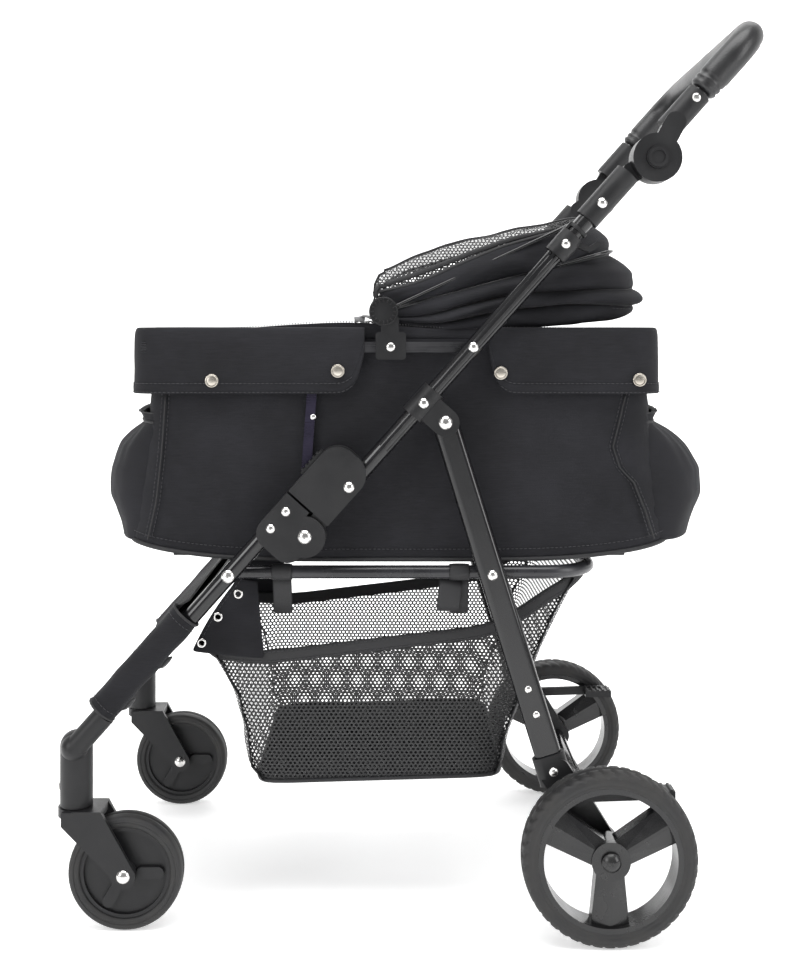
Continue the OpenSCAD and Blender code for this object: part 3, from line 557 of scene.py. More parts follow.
def along_line(path, spacing):
    """Points spaced evenly along a path."""
    path = [Vector(p) for p in path]
    made, gap = [path[0]], spacing
    for a, b in zip(path, path[1:]):
        length = (b - a).length
        while gap <= length and length > 0:
            made.append(a.lerp(b, gap / length))
            gap += spacing
        gap -= length
    return made


def stitch_line(path, length=0.0035, gap=0.0015, radius=0.00045):
    """A row of thread stitches lying along a path."""
    parts = []
    marks = along_line(path, length + gap)
    for a, b in zip(marks, marks[1:]):
        way = (b - a).normalized()
        thread_line = [a, a + way * length * 0.5, a + way * length]
        parts.append(tube(thread_line, [radius * 0.5, radius, radius * 0.5], sides=5))
    return parts


panel_low, panel_top = -0.294, -0.1525
leg_offset = 0.034
sleeve_radius = 0.0165
sleeve_at = leg_offset + 0.006
stitch_radius = 0.0182
loop = []
for y in (0.0, -0.05, -0.1, -0.15):
    loop.append((y, leg_offset + 0.0135))
for k in range(14):
    turn = math.radians(20 * k - 40)
    loop.append((-tube_half - sleeve_radius * math.sin(turn), sleeve_at + sleeve_radius * math.cos(turn)))
for y in (-0.178, -0.15, -0.1, -0.05):
    loop.append((y, leg_offset + 0.0035))
loop.append((0.0, leg_offset + 0.0035))
ring = loop + [(-y, p) for y, p in reversed(loop[1:-1])]
rows = []
for k in range(25):
    s = panel_low + (panel_top - panel_low) * k / 24
    row = []
    for y, p in ring:
        front = p > leg_offset + 0.006 and abs(y) < 0.19
        swell = 0.007 * math.sin(math.pi * k / 24) * (1 - (y / 0.2) ** 2) if front else 0.0
        wrinkle = creased((s, y * 0.8, p), 0.022, 0.0014)
        away = Vector((0, 0, 1))
        if abs(y) > 0.18:
            away = Vector((0, y - math.copysign(tube_half, y), p - sleeve_at)).normalized()
        spot_now = on_tube(s, p + swell, y)
        spot_now += Vector((0, away.y, 0)) * (abs(wrinkle)) + ahead * (wrinkle * (1 if front else away.z))
        row.append(spot_now)
    rows.append(row)
front_cloth = settle(make("front_panel_cloth", [grid(rows, True)], black_polyester), cloth_thickness, 1)
hems = []
for s in (panel_low + 0.001, panel_top - 0.001):
    edge = [on_tube(s, p + (0.0002 if p > leg_offset else -0.0002), y) for y, p in ring]
    hems.append(tube(edge, 0.0016, closed=True, sides=8))
front_hem = make("front_panel_hems", hems, hem_tape)
threads = []
for s in (panel_low + 0.009, panel_top - 0.009):
    for side in (-1, 1):
        edge = []
        for k in range(9):
            turn = math.radians(10 + k * 20)
            y = side * (tube_half + stitch_radius * math.sin(turn))
            edge.append(on_tube(s, sleeve_at + stitch_radius * math.cos(turn), y))
        threads += stitch_line(edge)
front_thread = make("front_panel_stitches", threads, sewing_thread)
tabs = []
for side in (-1, 1):
    for s in (-0.21, -0.272):
        strip = [on_tube(s, sleeve_at - 0.0165 - 0.001 * k, side * (tube_half - 0.004 * k)) for k in range(4)]
        tabs.append(tube(strip, 0.0022, sides=10, flat=4.2, flat_way=up))
front_tabs = make("front_panel_tabs", tabs, hem_tape)
for piece in (front_cloth, front_hem, front_thread, front_tabs):
    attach(piece, "front_frame")
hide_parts("front_panel")

# ---- bag shell ----
# The cabin is a lofted shell of padded polyester with rounded corners, slack at
# the ends and drawn up at the floor, bound with piping where floor meets wall.
bag_low, bag_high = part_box("bag_body")
bag_front, bag_back, bag_half = -0.290, 0.275, 0.183
bag_middle = (bag_front + bag_back) / 2
bag_corner, wall_height = 0.034, 0.254
bag_floor, bag_rim = bag_low.z, bag_high.z - 0.012
wall = 0.006


def plan_ring(inset, corner=bag_corner, spacing=0.006):
    """Points and outward directions round the bag's plan, the same number for every inset."""
    x0, x1, half = bag_front + inset, bag_back - inset, bag_half - inset
    r = max(corner - inset, 0.006)
    corners = [(x0 + r, -half + r, 180), (x1 - r, -half + r, 270)]
    corners += [(x1 - r, half - r, 0), (x0 + r, half - r, 90)]
    ring_points = []
    for k, (cx, cy, first) in enumerate(corners):
        for step in range(9):
            turn = math.radians(first + 90 * step / 8)
            out = Vector((math.cos(turn), math.sin(turn), 0))
            ring_points.append((Vector((cx, cy, 0)) + out * r, out))
        nx, ny, _ = corners[(k + 1) % 4]
        turn = math.radians(first + 90)
        out = Vector((math.cos(turn), math.sin(turn), 0))
        a, b = Vector((cx, cy, 0)) + out * r, Vector((nx, ny, 0)) + out * r
        full = (bag_back - bag_front if k % 2 == 0 else 2 * bag_half) - 2 * corner
        count = int(full / spacing)
        ring_points += [(a.lerp(b, i / count), out) for i in range(1, count)]
    return ring_points


def bag_shape(x, y, z):
    """Where a point of the straight bag goes once it sags and is drawn up at the ends."""
    height = min(1.0, max(0.0, (z - bag_floor) / (bag_rim - bag_floor)))
    reach = (x - bag_middle) / (bag_back - bag_middle)
    slack = (1 - height) ** 1.4
    lift = 0.021 * abs(reach) ** 5 * slack
    spread = 0.025 * math.copysign(abs(reach) ** 6, reach) * slack
    return Vector((x + spread, y, z + lift))


shell_profile = [(0.12, 0.0010), (0.07, 0.0006), (0.03, 0.0004), (0.012, 0.0006)]
shell_profile += [(0.004, 0.0015), (0.0015, 0.004)]
shell_profile += [(0.0, 0.009), (0.0, 0.0145)] + [(0.0, 0.02 + 0.0053 * k) for k in range(43)]
shell_profile += [(0.0004, 0.2515), (0.002, 0.2538), (0.004, 0.2538), (0.0056, 0.2515)]
shell_profile += [(wall, 0.245 - 0.0145 * k) for k in range(16)]
shell_profile += [(wall + 0.004, 0.0100), (wall + 0.02, 0.0066), (0.07, 0.0062), (0.12, 0.0062)]
rows = []
for inset, rise in shell_profile:
    row = []
    for p, out in plan_ring(inset):
        height = rise / wall_height
        outside = inset < 0.0045 and rise > 0.006
        dent = 0.0
        if outside:
            middle = math.sin(math.pi * min(1, height)) ** 0.6
            dent = -abs(creased((p.x, p.y, rise * 0.6), 0.085, 0.0046)) * middle
            dent -= abs(creased((p.x, p.y, rise * 1.6 + p.x * 0.5), 0.03, 0.0019)) * (1 - height * 0.6)
            near_end = min(1.0, abs(p.x - bag_middle) / 0.28) ** 6
            tucks = abs(creased((p.x * 1.5, p.y, rise + abs(p.x) * 0.8), 0.02, 0.0022))
            dent -= near_end * tucks * (1 - height)
        q = p + out * dent
        row.append(bag_shape(q.x, q.y, bag_floor + rise))
    rows.append(row)
points, faces = grid(rows, True)
ring_size = len(rows[0])
faces.append(tuple(reversed(range(ring_size))))
faces.append(tuple(range(len(points) - ring_size, len(points))))
bag_shell = make("bag_shell", [(points, faces)], black_polyester)
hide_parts("bag_body")

floor_line = [bag_shape(p.x, p.y, bag_floor + 0.0035) for p, _ in plan_ring(0.001)]
side_seams = []
for side in (-1, 1):
    y = side * (bag_half - 0.0002)
    for line in (
        [(-0.268, 0.592), (-0.2685, 0.52), (-0.270, 0.46), (-0.274, 0.414)],
        [(0.246, 0.592), (0.238, 0.56), (0.230, 0.53), (0.236, 0.505), (0.249, 0.485),
         (0.257, 0.45), (0.262, 0.414)],
    ):
        path = []
        for (x0, z0), (x1, z1) in zip(line, line[1:]):
            path += [(x0 + (x1 - x0) * k / 6, y, z0 + (z1 - z0) * k / 6) for k in range(6)]
        side_seams.append([bag_shape(*p) for p in path + [(line[-1][0], y, line[-1][1])]])
bag_piping = make(
    "bag_piping",
    [tube(floor_line, 0.0026, closed=True)] + [tube(line, 0.0011, sides=6) for line in side_seams],
    hem_tape,
)
threads = []
for line in side_seams:
    for shift in (-0.004, 0.004):
        threads += stitch_line([p + Vector((shift, math.copysign(0.0003, p.y), 0)) for p in line])
binding = [
    bag_shape(p.x + out.x * 0.0006, p.y + out.y * 0.0006, bag_floor + 0.0155) for p, out in plan_ring(0.0)
]
threads += stitch_line(binding + binding[:1])
bag_thread = make("bag_stitches", threads, sewing_thread)

# ---- bag pockets ----
# A gathered pocket bellies out of each end of the bag; its mouth is drawn in by
# elastic in a channel, so the cloth above the channel stands in a ruffle.
front_belly = [(0.003, 0.5640), (0.026, 0.5480), (0.0415, 0.5335), (0.0500, 0.5045), (0.0480, 0.4743),
               (0.0350, 0.4550), (0.0250, 0.4400), (0.0200, 0.4250)]
rear_belly = [(0.004, 0.5620), (0.034, 0.5470), (0.055, 0.5290), (0.0675, 0.5045), (0.0640, 0.4743),
              (0.0530, 0.4540), (0.0440, 0.4380), (0.0370, 0.4230)]


def read_off(table, value):
    """Reads a smooth line through (amount, height) pairs at one height."""
    table = sorted(table, key=lambda pair: pair[1])
    if value <= table[0][1]:
        return table[0][0]
    for (a0, h0), (a1, h1) in zip(table, table[1:]):
        if value <= h1:
            share = (value - h0) / (h1 - h0)
            return a0 + (a1 - a0) * share
    return table[-1][0]


pocket_half = 0.168
pocket_columns = 85
pocket_pieces = []
for label, end_x, way, belly in (("front", bag_front, -1, front_belly), ("rear", bag_back, 1, rear_belly)):
    rows = []
    heights = [0.5735, 0.5715, 0.5675, 0.5635, 0.5600] + [0.5560 - 0.0075 * k for k in range(18)]
    for row_number, z in enumerate(heights):
        row = []
        for k in range(pocket_columns):
            y = pocket_half * (2 * k / (pocket_columns - 1) - 1)
            across_share = max(0.0, 1 - abs(y / pocket_half) ** 4.0) ** 0.75
            stand = read_off(belly, min(z, 0.5605))
            gather = 0.5 + 0.5 * math.sin(y * 360 + 1.6 * noise.noise(Vector((y * 30, end_x, 0))))
            fade = max(0.0, 1 - row_number / 13)
            stand += (gather - 0.5) * 0.0055 * fade
            if row_number < 3:
                stand += 0.004 + 0.003 * (2 - row_number) * gather
            if row_number == 3:
                stand += 0.0005
            stand += creased((y * 0.8, z, end_x), 0.035, 0.0032) * across_share
            stand += creased((y * 1.8, z * 0.9 + abs(y) * 0.5, end_x), 0.016, 0.0014)
            round_corner = max(0.0, abs(y) - (bag_half - bag_corner))
            set_back = bag_corner - math.sqrt(bag_corner ** 2 - round_corner ** 2)
            wall_at = bag_shape(end_x - way * set_back, y, z).x
            edge = -0.0045 + 0.0060 * across_share
            row.append((wall_at + way * (stand * across_share + edge), y, z - 0.004 * (y / pocket_half) ** 2))
        rows.append(row)
    cloth = settle(make(label + "_pocket", [grid(rows)], black_polyester), cloth_thickness, 1)
    channel = []
    for k in range(pocket_columns):
        x, y, z = rows[3][k]
        channel.append((x + way * 0.0006, y, z))
    elastic = make(label + "_pocket_elastic", [tube(channel, 0.0021, sides=8)], hem_tape)
    mouth = make(label + "_pocket_edge", [tube([Vector(p) for p in rows[0]], 0.0010, sides=6)], hem_tape)
    pocket_pieces += [cloth, elastic, mouth]

# ---- flaps and snaps ----
# Two skirts of doubled cloth hang from the rim over the top rail, one round each
# end. Turned, twice-stitched hems carry flat plated snaps that hold them down.
flap_half, flap_drop = 0.1922, 0.5935
flap_profile = [(-0.0065, 0.6668), (-0.0030, 0.6672), (-0.0008, 0.6655), (0.0, 0.6600)]
flap_pieces, snap_parts, flap_threads = [], [], []


def turned(profile, centre, axis, steps=28, start=0.0):
    """A form turned on an axis from (radius, height) pairs."""
    axis = Vector(axis).normalized()
    side = axis.orthogonal().normalized()
    other = axis.cross(side)
    rows = []
    for r, h in profile:
        rows.append([
            Vector(centre) + axis * h + (side * math.cos(a) + other * math.sin(a)) * r
            for a in (start + 2 * math.pi * k / steps for k in range(steps))
        ])
    points, faces = grid(rows, True)
    faces += [tuple(reversed(range(steps))), tuple(range(len(points) - steps, len(points)))]
    return points, faces


snap_profile = [(0.0074, -0.0012), (0.0076, 0.0), (0.0076, 0.0007), (0.0070, 0.0014), (0.0062, 0.0013),
                (0.0056, 0.0010), (0.0048, 0.0013), (0.0030, 0.0017), (0.0008, 0.0018)]
for label, way, open_x, end_x, snap_xs in (
    ("front", -1, -0.046, -0.3080, ((-0.0761, 0.6186), (-0.2169, 0.6077))),
    ("rear", 1, 0.092, 0.2868, ((0.1060, 0.6164), (0.2610, 0.6088))),
):
    length = abs(end_x - open_x)
    path = u_path(0.0, length, flap_half, 0.03, per_corner=8, straight=0.007)
    rows = []
    for s, y in path:
        x = open_x + way * s
        out = Vector((0, math.copysign(1, y), 0))
        if s > length - 0.03:
            centre = Vector((length - 0.03, math.copysign(flap_half - 0.03, y)))
            out_plan = (Vector((s, y)) - centre) if abs(y) > flap_half - 0.03 else Vector((1, 0))
            out_plan.normalize()
            out = Vector((way * out_plan.x, out_plan.y, 0))
        rounding = 0.030
        lift = 0.0
        if s < rounding:
            lift = 1.6 * (rounding - math.sqrt(max(0.0, rounding ** 2 - (rounding - s) ** 2)))
        drop = flap_drop + lift
        column = []
        for off, z in flap_profile:
            column.append(Vector((x, y, 0)) + out * off + Vector((0, 0, z)))
        for k in range(1, 13):
            share = k / 12
            z = 0.6600 + (drop - 0.6600) * share
            wave = creased((x, y, z * 0.3), 0.06, 0.0016) * share
            wave += creased((x, y, z), 0.02, 0.0005)
            corner_pull = 0.003 * share if 0.02 < s < length - 0.04 or abs(y) < flap_half - 0.05 else 0.0
            off = 0.0006 + max(-0.0008, wave) + (0.0 if abs(y) > flap_half - 0.01 else corner_pull)
            column.append(Vector((x, y, 0)) + out * off + Vector((0, 0, z)))
        rows.append(column)
    cloth = settle(make(label + "_flap", [grid(rows)], black_polyester), 0.0016, 1)
    hem_rows = []
    for column in rows:
        lowest, above = column[-1], column[-4]
        way_up = (above - lowest).normalized() if (above - lowest).length > 1e-5 else Vector((0, 0, 1))
        hem_rows.append([lowest + way_up * step for step in (-0.0006, 0.0012, 0.006, 0.0112, 0.0122)])
    for column, hem_column in zip(rows, hem_rows):
        flat_out = Vector((0, math.copysign(1, column[-1].y), 0))
        if abs(column[-1].y) < flap_half - 0.012:
            flat_out = Vector((way, 0, 0))
        for k, stand in enumerate((0.0004, 0.0014, 0.0016, 0.0014, 0.0002)):
            hem_column[k] += flat_out * stand
    hem = settle(make(label + "_flap_hem", [grid(hem_rows)], black_polyester), 0.0009, 1)
    for step in (1, 3):
        flap_threads += stitch_line([
            column[step] + Vector((0, math.copysign(0.0012, column[step].y), 0))
            if abs(column[step].y) > flap_half - 0.012 else column[step] + Vector((way * 0.0012, 0, 0))
            for column in hem_rows[2:-2]
        ])
    flap_pieces += [cloth, hem]
    for side in (-1, 1):
        for x, z in snap_xs:
            snap_parts.append(turned(snap_profile, (x, side * (flap_half + 0.0026), z), (0, side, 0)))
        snap_parts.append(turned(snap_profile, (end_x + way * 0.0036, side * 0.135, 0.608), (way, 0, 0)))
snap_plate = finish_of(
    "plated_snap", brushed, {"Lines": 500.0, "Stain": 60.0},
    (0.50, 0.46, 0.40), (0.66, 0.62, 0.55), (0.2, 0.34), 0.1, 0.00005, {"Metallic": 1.0},
)
snaps = make("flap_snaps", snap_parts, snap_plate)
flap_thread = make("flap_stitches", flap_threads, sewing_thread)
flap_pieces += [snaps, flap_thread]

# ---- rim collar and zip ----
# A narrow collar stands round the rim and carries one side of a coil zip, whose
# slider and cord pull rest where the collar meets the canopy hinge.
collar_rows, zip_path = [], []
collar_foot, zip_pitch = 0.654, 0.0032
for p, out in plan_ring(0.003):
    crest = 0.0075 * math.exp(-((p.x + 0.075) / 0.075) ** 2) if abs(p.y) > bag_half - 0.01 else 0.0
    top = 0.6660 + crest + 0.0012 * noise.noise(p * 14)
    lean = 0.0016 * noise.noise(p * 22 + Vector((5, 0, 0)))
    column = []
    for share, off in ((0.0, 0.0010), (0.25, 0.0022), (0.5, 0.0012), (0.78, 0.0004), (1.0, 0.0)):
        stand = Vector((0, 0, collar_foot + (top - collar_foot) * share))
        column.append(p + out * (off + lean * share) + stand)
    collar_rows.append(column)
    zip_path.append(column[-1] + Vector((0, 0, 0.0006)))
collar_rows.append(collar_rows[0])
collar = settle(make("rim_collar", [grid(collar_rows)], black_polyester), 0.0018, 1)
zip_black = finish_of(
    "black_zip_coil", coat_grain, {"Peel": 300.0, "Rub": 40.0},
    (0.012, 0.012, 0.013), (0.035, 0.035, 0.038), (0.25, 0.4),
)
teeth = []
marks = along_line(zip_path + zip_path[:1], zip_pitch)
for a, b in zip(marks, marks[1:]):
    way = (b - a).normalized()
    other = Vector((-way.y, way.x, 0))
    ends = [a + other * reach + way * 0.0004 for reach in (-0.0014, 0.0014)]
    teeth.append(tube([ends[0], a + Vector((0, 0, 0.0008)), ends[1]], 0.0008, sides=5))
zip_coil = make("rim_zip", teeth, zip_black)
pull_grey = finish_of(
    "grey_pull_rubber", spark_grain, {"Grain": 900.0, "Wear": 60.0},
    (0.16, 0.16, 0.165), (0.24, 0.24, 0.24), (0.4, 0.55),
)
pulls = []
for side in (-1, 1):
    at = Vector((-0.052, side * (bag_half - 0.002), 0.6770))
    slider = [at + Vector((0.006, 0, -0.001)), at, at + Vector((-0.006, 0, -0.001))]
    pulls.append(tube(slider, 0.0022, sides=8, flat=1.5, flat_way=(0, 0, 1)))
    cord_line = [at + Vector((x, side * y, z)) for x, y, z in (
        (0.001, 0.001, 0.002), (0.004, 0.002, 0.0035), (0.008, 0.002, 0.003),
        (0.013, 0.002, 0.0015), (0.018, 0.0015, 0.0015),
    )]
    pulls.append(tube(cord_line, [0.0011, 0.0012, 0.0016, 0.0022, 0.0018], sides=8))
zip_pulls = make("zip_pulls", pulls, pull_grey)

# ---- cabin mat ----
# A thin wadded mat in the same polyester lies on the stiffened floor. It is
# quilted across in channels and edged with tape.
mat_low, mat_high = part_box("base_board")
rows = []
for i in range(61):
    row = []
    for j in range(41):
        sx, sy = i / 60, j / 40
        x = mat_low.x + (mat_high.x - mat_low.x) * sx
        y = mat_low.y + (mat_high.y - mat_low.y) * sy
        edge = min(1.0, 12 * min(sx, 1 - sx), 9 * min(sy, 1 - sy)) ** 0.5
        channel = abs(math.sin(math.pi * sx * 8)) ** 0.35 * abs(math.sin(math.pi * sy * 4)) ** 0.35
        row.append((x, y, mat_high.z - 0.003 + 0.0045 * edge * (0.35 + 0.65 * channel)))
    rows.append(row)
rim_line = [rows[0][j] for j in range(41)] + [rows[i][40] for i in range(1, 61)]
rim_line += [rows[60][j] for j in range(39, -1, -1)] + [rows[i][0] for i in range(59, 0, -1)]
under = [[(x, y, mat_low.z + 0.0005) for x, y, z in row] for row in rows]
points, faces = grid(rows)
low_points, low_faces = grid(under)
count = len(points)
border = [j for j in range(41)] + [i * 41 + 40 for i in range(1, 61)]
border += [60 * 41 + j for j in range(39, -1, -1)] + [i * 41 for i in range(59, 0, -1)]
faces += [tuple(reversed([count + i for i in face])) for face in low_faces]
for a, b in zip(border, border[1:] + border[:1]):
    faces.append((a, b, count + b, count + a))
mat = make("cabin_mat", [(points + low_points, faces)], black_polyester)
mat_edge = make("cabin_mat_tape", [tube(rim_line, 0.0016, closed=True, sides=8)], hem_tape)
for piece in (mat, mat_edge):
    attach(piece, "seat_frame")
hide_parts("base_board")

for piece in [bag_shell, bag_piping, bag_thread, collar, zip_coil, zip_pulls] + pocket_pieces + flap_pieces:
    piece.data.transform(Matrix.Translation((aft, 0, 0)))
    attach(piece, "seat_frame")
    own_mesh(piece)

# ---- canopy folds ----
# The hood is laid back on its three wire bows, so its gores hang in puffed
# folds between piped seams. Only the rear fold rides on its bow; the other
# folds stay fixed in place.
hinge = joints["canopy_open"]
hood_half, hood_length, hood_corner, hood_straight = 0.172, 0.28, 0.062, 0.218
hem_line = [(0.008, -0.012), (0.045, -0.021), (0.11, -0.022), (0.19, -0.016), (0.268, -0.008)]
low_seam = [(0.016, -0.012), (0.065, -0.012), (0.13, 0.001), (0.203, 0.010), (0.290, 0.008)]
rear_seam = [(0.008, -0.008), (0.042, -0.006), (0.10, 0.010), (0.168, 0.023), (0.290, 0.026)]
mid_seam = [(0.002, -0.001), (0.040, 0.013), (0.072, 0.021), (0.161, 0.043), (0.262, 0.067)]
window_seam = [(-0.005, 0.022), (0.042, 0.034), (0.088, 0.055), (0.134, 0.074), (0.20, 0.092), (0.245, 0.099)]
ridge_line = [(-0.006, 0.043), (0.030, 0.063), (0.088, 0.081), (0.146, 0.095), (0.203, 0.105), (0.245, 0.112)]


def seam_point(line, share):
    """A point a share of the way along a seam's side view, with its corners eased."""
    s = line[0][0] + (line[-1][0] - line[0][0]) * share
    width = 0.012

    def height(at):
        at = min(max(at, line[0][0]), line[-1][0])
        for (s0, h0), (s1, h1) in zip(line, line[1:]):
            if at <= s1:
                return h0 + (h1 - h0) * (at - s0) / (s1 - s0)
        return line[-1][1]

    return s, (height(s - width) + 2 * height(s) + height(s + width)) / 4


hood_plan = u_path(0.0, hood_length, hood_half, hood_corner, per_corner=10, straight=0.010)


def hood_row(line, spread=0.0):
    """A seam carried round the hood: near side, across the tip and back."""
    row = []
    for s_plan, y in hood_plan:
        s, h = seam_point(line, s_plan / hood_length)
        if s_plan > hood_straight:
            out = Vector((s_plan - hood_straight, 0, 0))
            out.y = math.copysign(max(0.0, abs(y) - (hood_half - hood_corner)), y)
            out.normalize()
        else:
            out = Vector((0, math.copysign(1, y), 0))
        crown = 0.004 * max(0.0, 1 - (y / hood_half) ** 2) if s_plan > 0.27 else 0.0
        row.append((hinge + Vector((s, y, h + crown)) + out * spread, out, s_plan / hood_length))
    return row


def hood_fold(name, low, high, belly, steps=14):
    low_row, high_row = hood_row(low), hood_row(high)
    rows = []
    for k in range(steps + 1):
        v = k / steps
        row = []
        for (a, out, share), (b, _, _) in zip(low_row, high_row):
            swell = belly * math.sin(math.pi * v) ** 0.75 * (0.45 + 0.55 * min(1.0, share * 3.2))
            p = a.lerp(b, v)
            swell += creased((p.x * 0.9, p.y * 0.9, p.z * 2.2), 0.045, 0.0042) * math.sin(math.pi * v)
            swell += creased((p.x * 1.6, p.y * 1.6, p.z * 3.0), 0.018, 0.0016) * math.sin(math.pi * v)
            drape = 0.006 * math.sin(math.pi * v) * creased((p.x, p.y, 3.0), 0.06, 1.0)
            row.append(p + out * swell + Vector((0, 0, drape - 0.25 * swell * (1 - v))))
        rows.append(row)
    return settle(make(name, [grid(rows)], black_polyester), cloth_thickness, 1)


fold_flats = ((0.82, 0.034), (0.84, 0.040), (0.84, 0.060), (0.82, 0.050))
hood_folds = [
    ("hood_fold_hem", hem_line, low_seam, 0.010, "top_frame", "canopy_rear_bow", -8, 2),
    ("hood_fold_rear", low_seam, rear_seam, 0.015, "canopy_rear_bow", None, 0, 0),
    ("hood_fold_mid", rear_seam, mid_seam, 0.014, "canopy_rear_bow", "canopy_mid_bow", 7, 14),
    ("hood_fold_front", mid_seam, window_seam, 0.009, "canopy_mid_bow", "canopy_front_bow", 15, 26),
]
stands_for = {
    "hood_fold_rear": "canopy_rear",
    "hood_fold_mid": "canopy_mid",
    "hood_fold_front": "canopy_front",
}
for (name, low, high, belly, body, other, from_angle, to_angle), flat in zip(hood_folds, fold_flats):
    cloth = hood_fold(name, low, high, belly)
    if other:
        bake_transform(cloth)
    else:
        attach(cloth, body)
    if name in stands_for:
        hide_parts(stands_for[name])

for name, line, body, radius in (
    ("hood_piping_low", low_seam, "canopy_rear_bow", 0.0019),
    ("hood_piping_rear", rear_seam, "canopy_rear_bow", 0.0019),
    ("hood_piping_mid", mid_seam, "canopy_mid_bow", 0.0022),
    ("hood_piping_window", window_seam, "canopy_front_bow", 0.0022),
):
    pipe = make(name, [tube([p for p, _, _ in hood_row(line, 0.0012)], radius, sides=8)], hem_tape)
    under = [p - Vector((0, 0, 0.0045)) + out * 0.0026 for p, out, _ in hood_row(line, 0.0012)][3:-3]
    thread = make(name + "_stitches", stitch_line(under, 0.004, 0.002, 0.0005), sewing_thread)
    for piece in (pipe, thread):
        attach(piece, body)

# ---- hood window ----
# The see-through front of the hood is knitted mesh, edged with tape. Laid back,
# it covers the folds like a lid and its zipped lower edge hangs at the front.
net_cells, entry, leave = new_group("net_cells", [("Pitch", 0.005), ("Hole", 0.34)], ["Tone", "Height"])
across, down, spot = cloth_plane(net_cells)
down_scaled = math_node(net_cells, "DIVIDE", down, 0.9)


def cell_distance(shift):
    parts = []
    for value, squeeze in ((across, 1.0), (down_scaled, 1.732)):
        pitch = math_node(net_cells, "MULTIPLY", entry.outputs["Pitch"], squeeze)
        at = math_node(net_cells, "ADD", math_node(net_cells, "DIVIDE", value, pitch), shift)
        part = math_node(net_cells, "SUBTRACT", math_node(net_cells, "FRACT", at), 0.5)
        parts.append(math_node(net_cells, "MULTIPLY", part, squeeze))
    square = math_node(net_cells, "ADD", *(math_node(net_cells, "MULTIPLY", part, part) for part in parts))
    return math_node(net_cells, "SQRT", square)


nearest = math_node(net_cells, "MINIMUM", cell_distance(0.5), cell_distance(0.0))
beyond = math_node(net_cells, "SUBTRACT", nearest, entry.outputs["Hole"])
strand = math_node(net_cells, "MULTIPLY", beyond, 18.0, clamp=True)
net_cells.links.new(strand, leave.inputs["Tone"])
net_cells.links.new(nearest, leave.inputs["Height"])


def net_finish(name, pitch, hole, shade):
    material, tree, shader = start_material(name, shade, 0.55)
    cells = tree.nodes.new("ShaderNodeGroup")
    cells.node_tree = net_cells
    cells.inputs["Pitch"].default_value = pitch
    cells.inputs["Hole"].default_value = hole
    tree.links.new(cells.outputs["Tone"], shader.inputs["Alpha"])
    relief = tree.nodes.new("ShaderNodeBump")
    relief.inputs["Strength"].default_value = 0.5
    relief.inputs["Distance"].default_value = 0.0006
    tree.links.new(cells.outputs["Height"], relief.inputs["Height"])
    tree.links.new(relief.outputs["Normal"], shader.inputs["Normal"])
    return material


window_net = net_finish("window_net", 0.0042, 0.30, (0.012, 0.012, 0.013))
front_lip = [(-0.002, -0.010), (-0.008, 0.002), (-0.011, 0.016), (-0.010, 0.030), (-0.005, 0.041)]
lid_rows = []
for step in range(45):
    if step < 5:
        s, h = front_lip[step]
        share = 0.0
    else:
        share = (step - 5) / 39
        s, h = seam_point(ridge_line, share)
        s = max(s, 0.001)
    narrow = 1 - 0.42 * max(0.0, (share - 0.72) / 0.28) ** 2.4
    row = []
    for k in range(45):
        a = k / 22 - 1
        edge = max(0.0, (abs(a) - 0.80) / 0.20)
        _, h_low = seam_point(window_seam, share)
        side_drop = (h - h_low) * edge ** 1.3 if step >= 5 else (h - front_lip[0][1]) * 0.35 * edge ** 2
        sag = 0.011 * (1 - (a / 0.8) ** 2) if abs(a) < 0.8 else 0.0
        sag *= min(1.0, share * 4)
        y = math.copysign(min(1.0, abs(a) / 0.80) * 0.158 + 0.015 * edge ** 0.6, a) * narrow
        lump = creased((s, y, 1.0), 0.05, 0.0035) * (1 - edge) + creased((s, y, 2.0), 0.02, 0.0012)
        row.append(hinge + Vector((s, y, h - side_drop - sag + lump)))
    lid_rows.append(row)
tip = lid_rows[-1]
for step in range(1, 6):
    drop = 0.004 * step
    lid_rows.append([p + Vector((0.007 * math.sin(step * 0.32), 0, -0.0045 * step)) for p in tip])
window = settle(make("hood_window", [grid(lid_rows)], window_net), 0, 1)
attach(window, "canopy_front_bow")
near_edge = [row[1] + Vector((0, -0.001, 0)) for row in lid_rows[:-3]]
far_edge = [row[-2] + Vector((0, 0.001, 0)) for row in lid_rows[:-3]]
ridge_near = [row[5] + Vector((0, -0.0006, 0.0006)) for row in lid_rows[2:-3]]
ridge_far = [row[-6] + Vector((0, 0.0006, 0.0006)) for row in lid_rows[2:-3]]
lip_edge = [p + Vector((0, 0, -0.0004)) for p in lid_rows[0]]
tip_edge = list(lid_rows[-1])
window_tape = make(
    "hood_window_tape",
    [tube(line, 0.0013, sides=8, flat=2.2, flat_way=(0, 0, 1)) for line in (near_edge, far_edge)]
    + [tube(line, 0.0016, sides=8) for line in (ridge_near, ridge_far, lip_edge, tip_edge)],
    hem_tape,
)
window_zip = []
marks = along_line(lip_edge, zip_pitch)
for a, b in zip(marks, marks[1:]):
    way = (b - a).normalized()
    tooth = [a + Vector((-0.0022, 0, -0.0016)), a + way * 0.0006 + Vector((0.0004, 0, -0.0028))]
    window_zip.append(tube(tooth, 0.0007, sides=5))
window_coil = make("hood_window_zip", window_zip, zip_black)
for piece in (window_tape, window_coil):
    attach(piece, "canopy_front_bow")

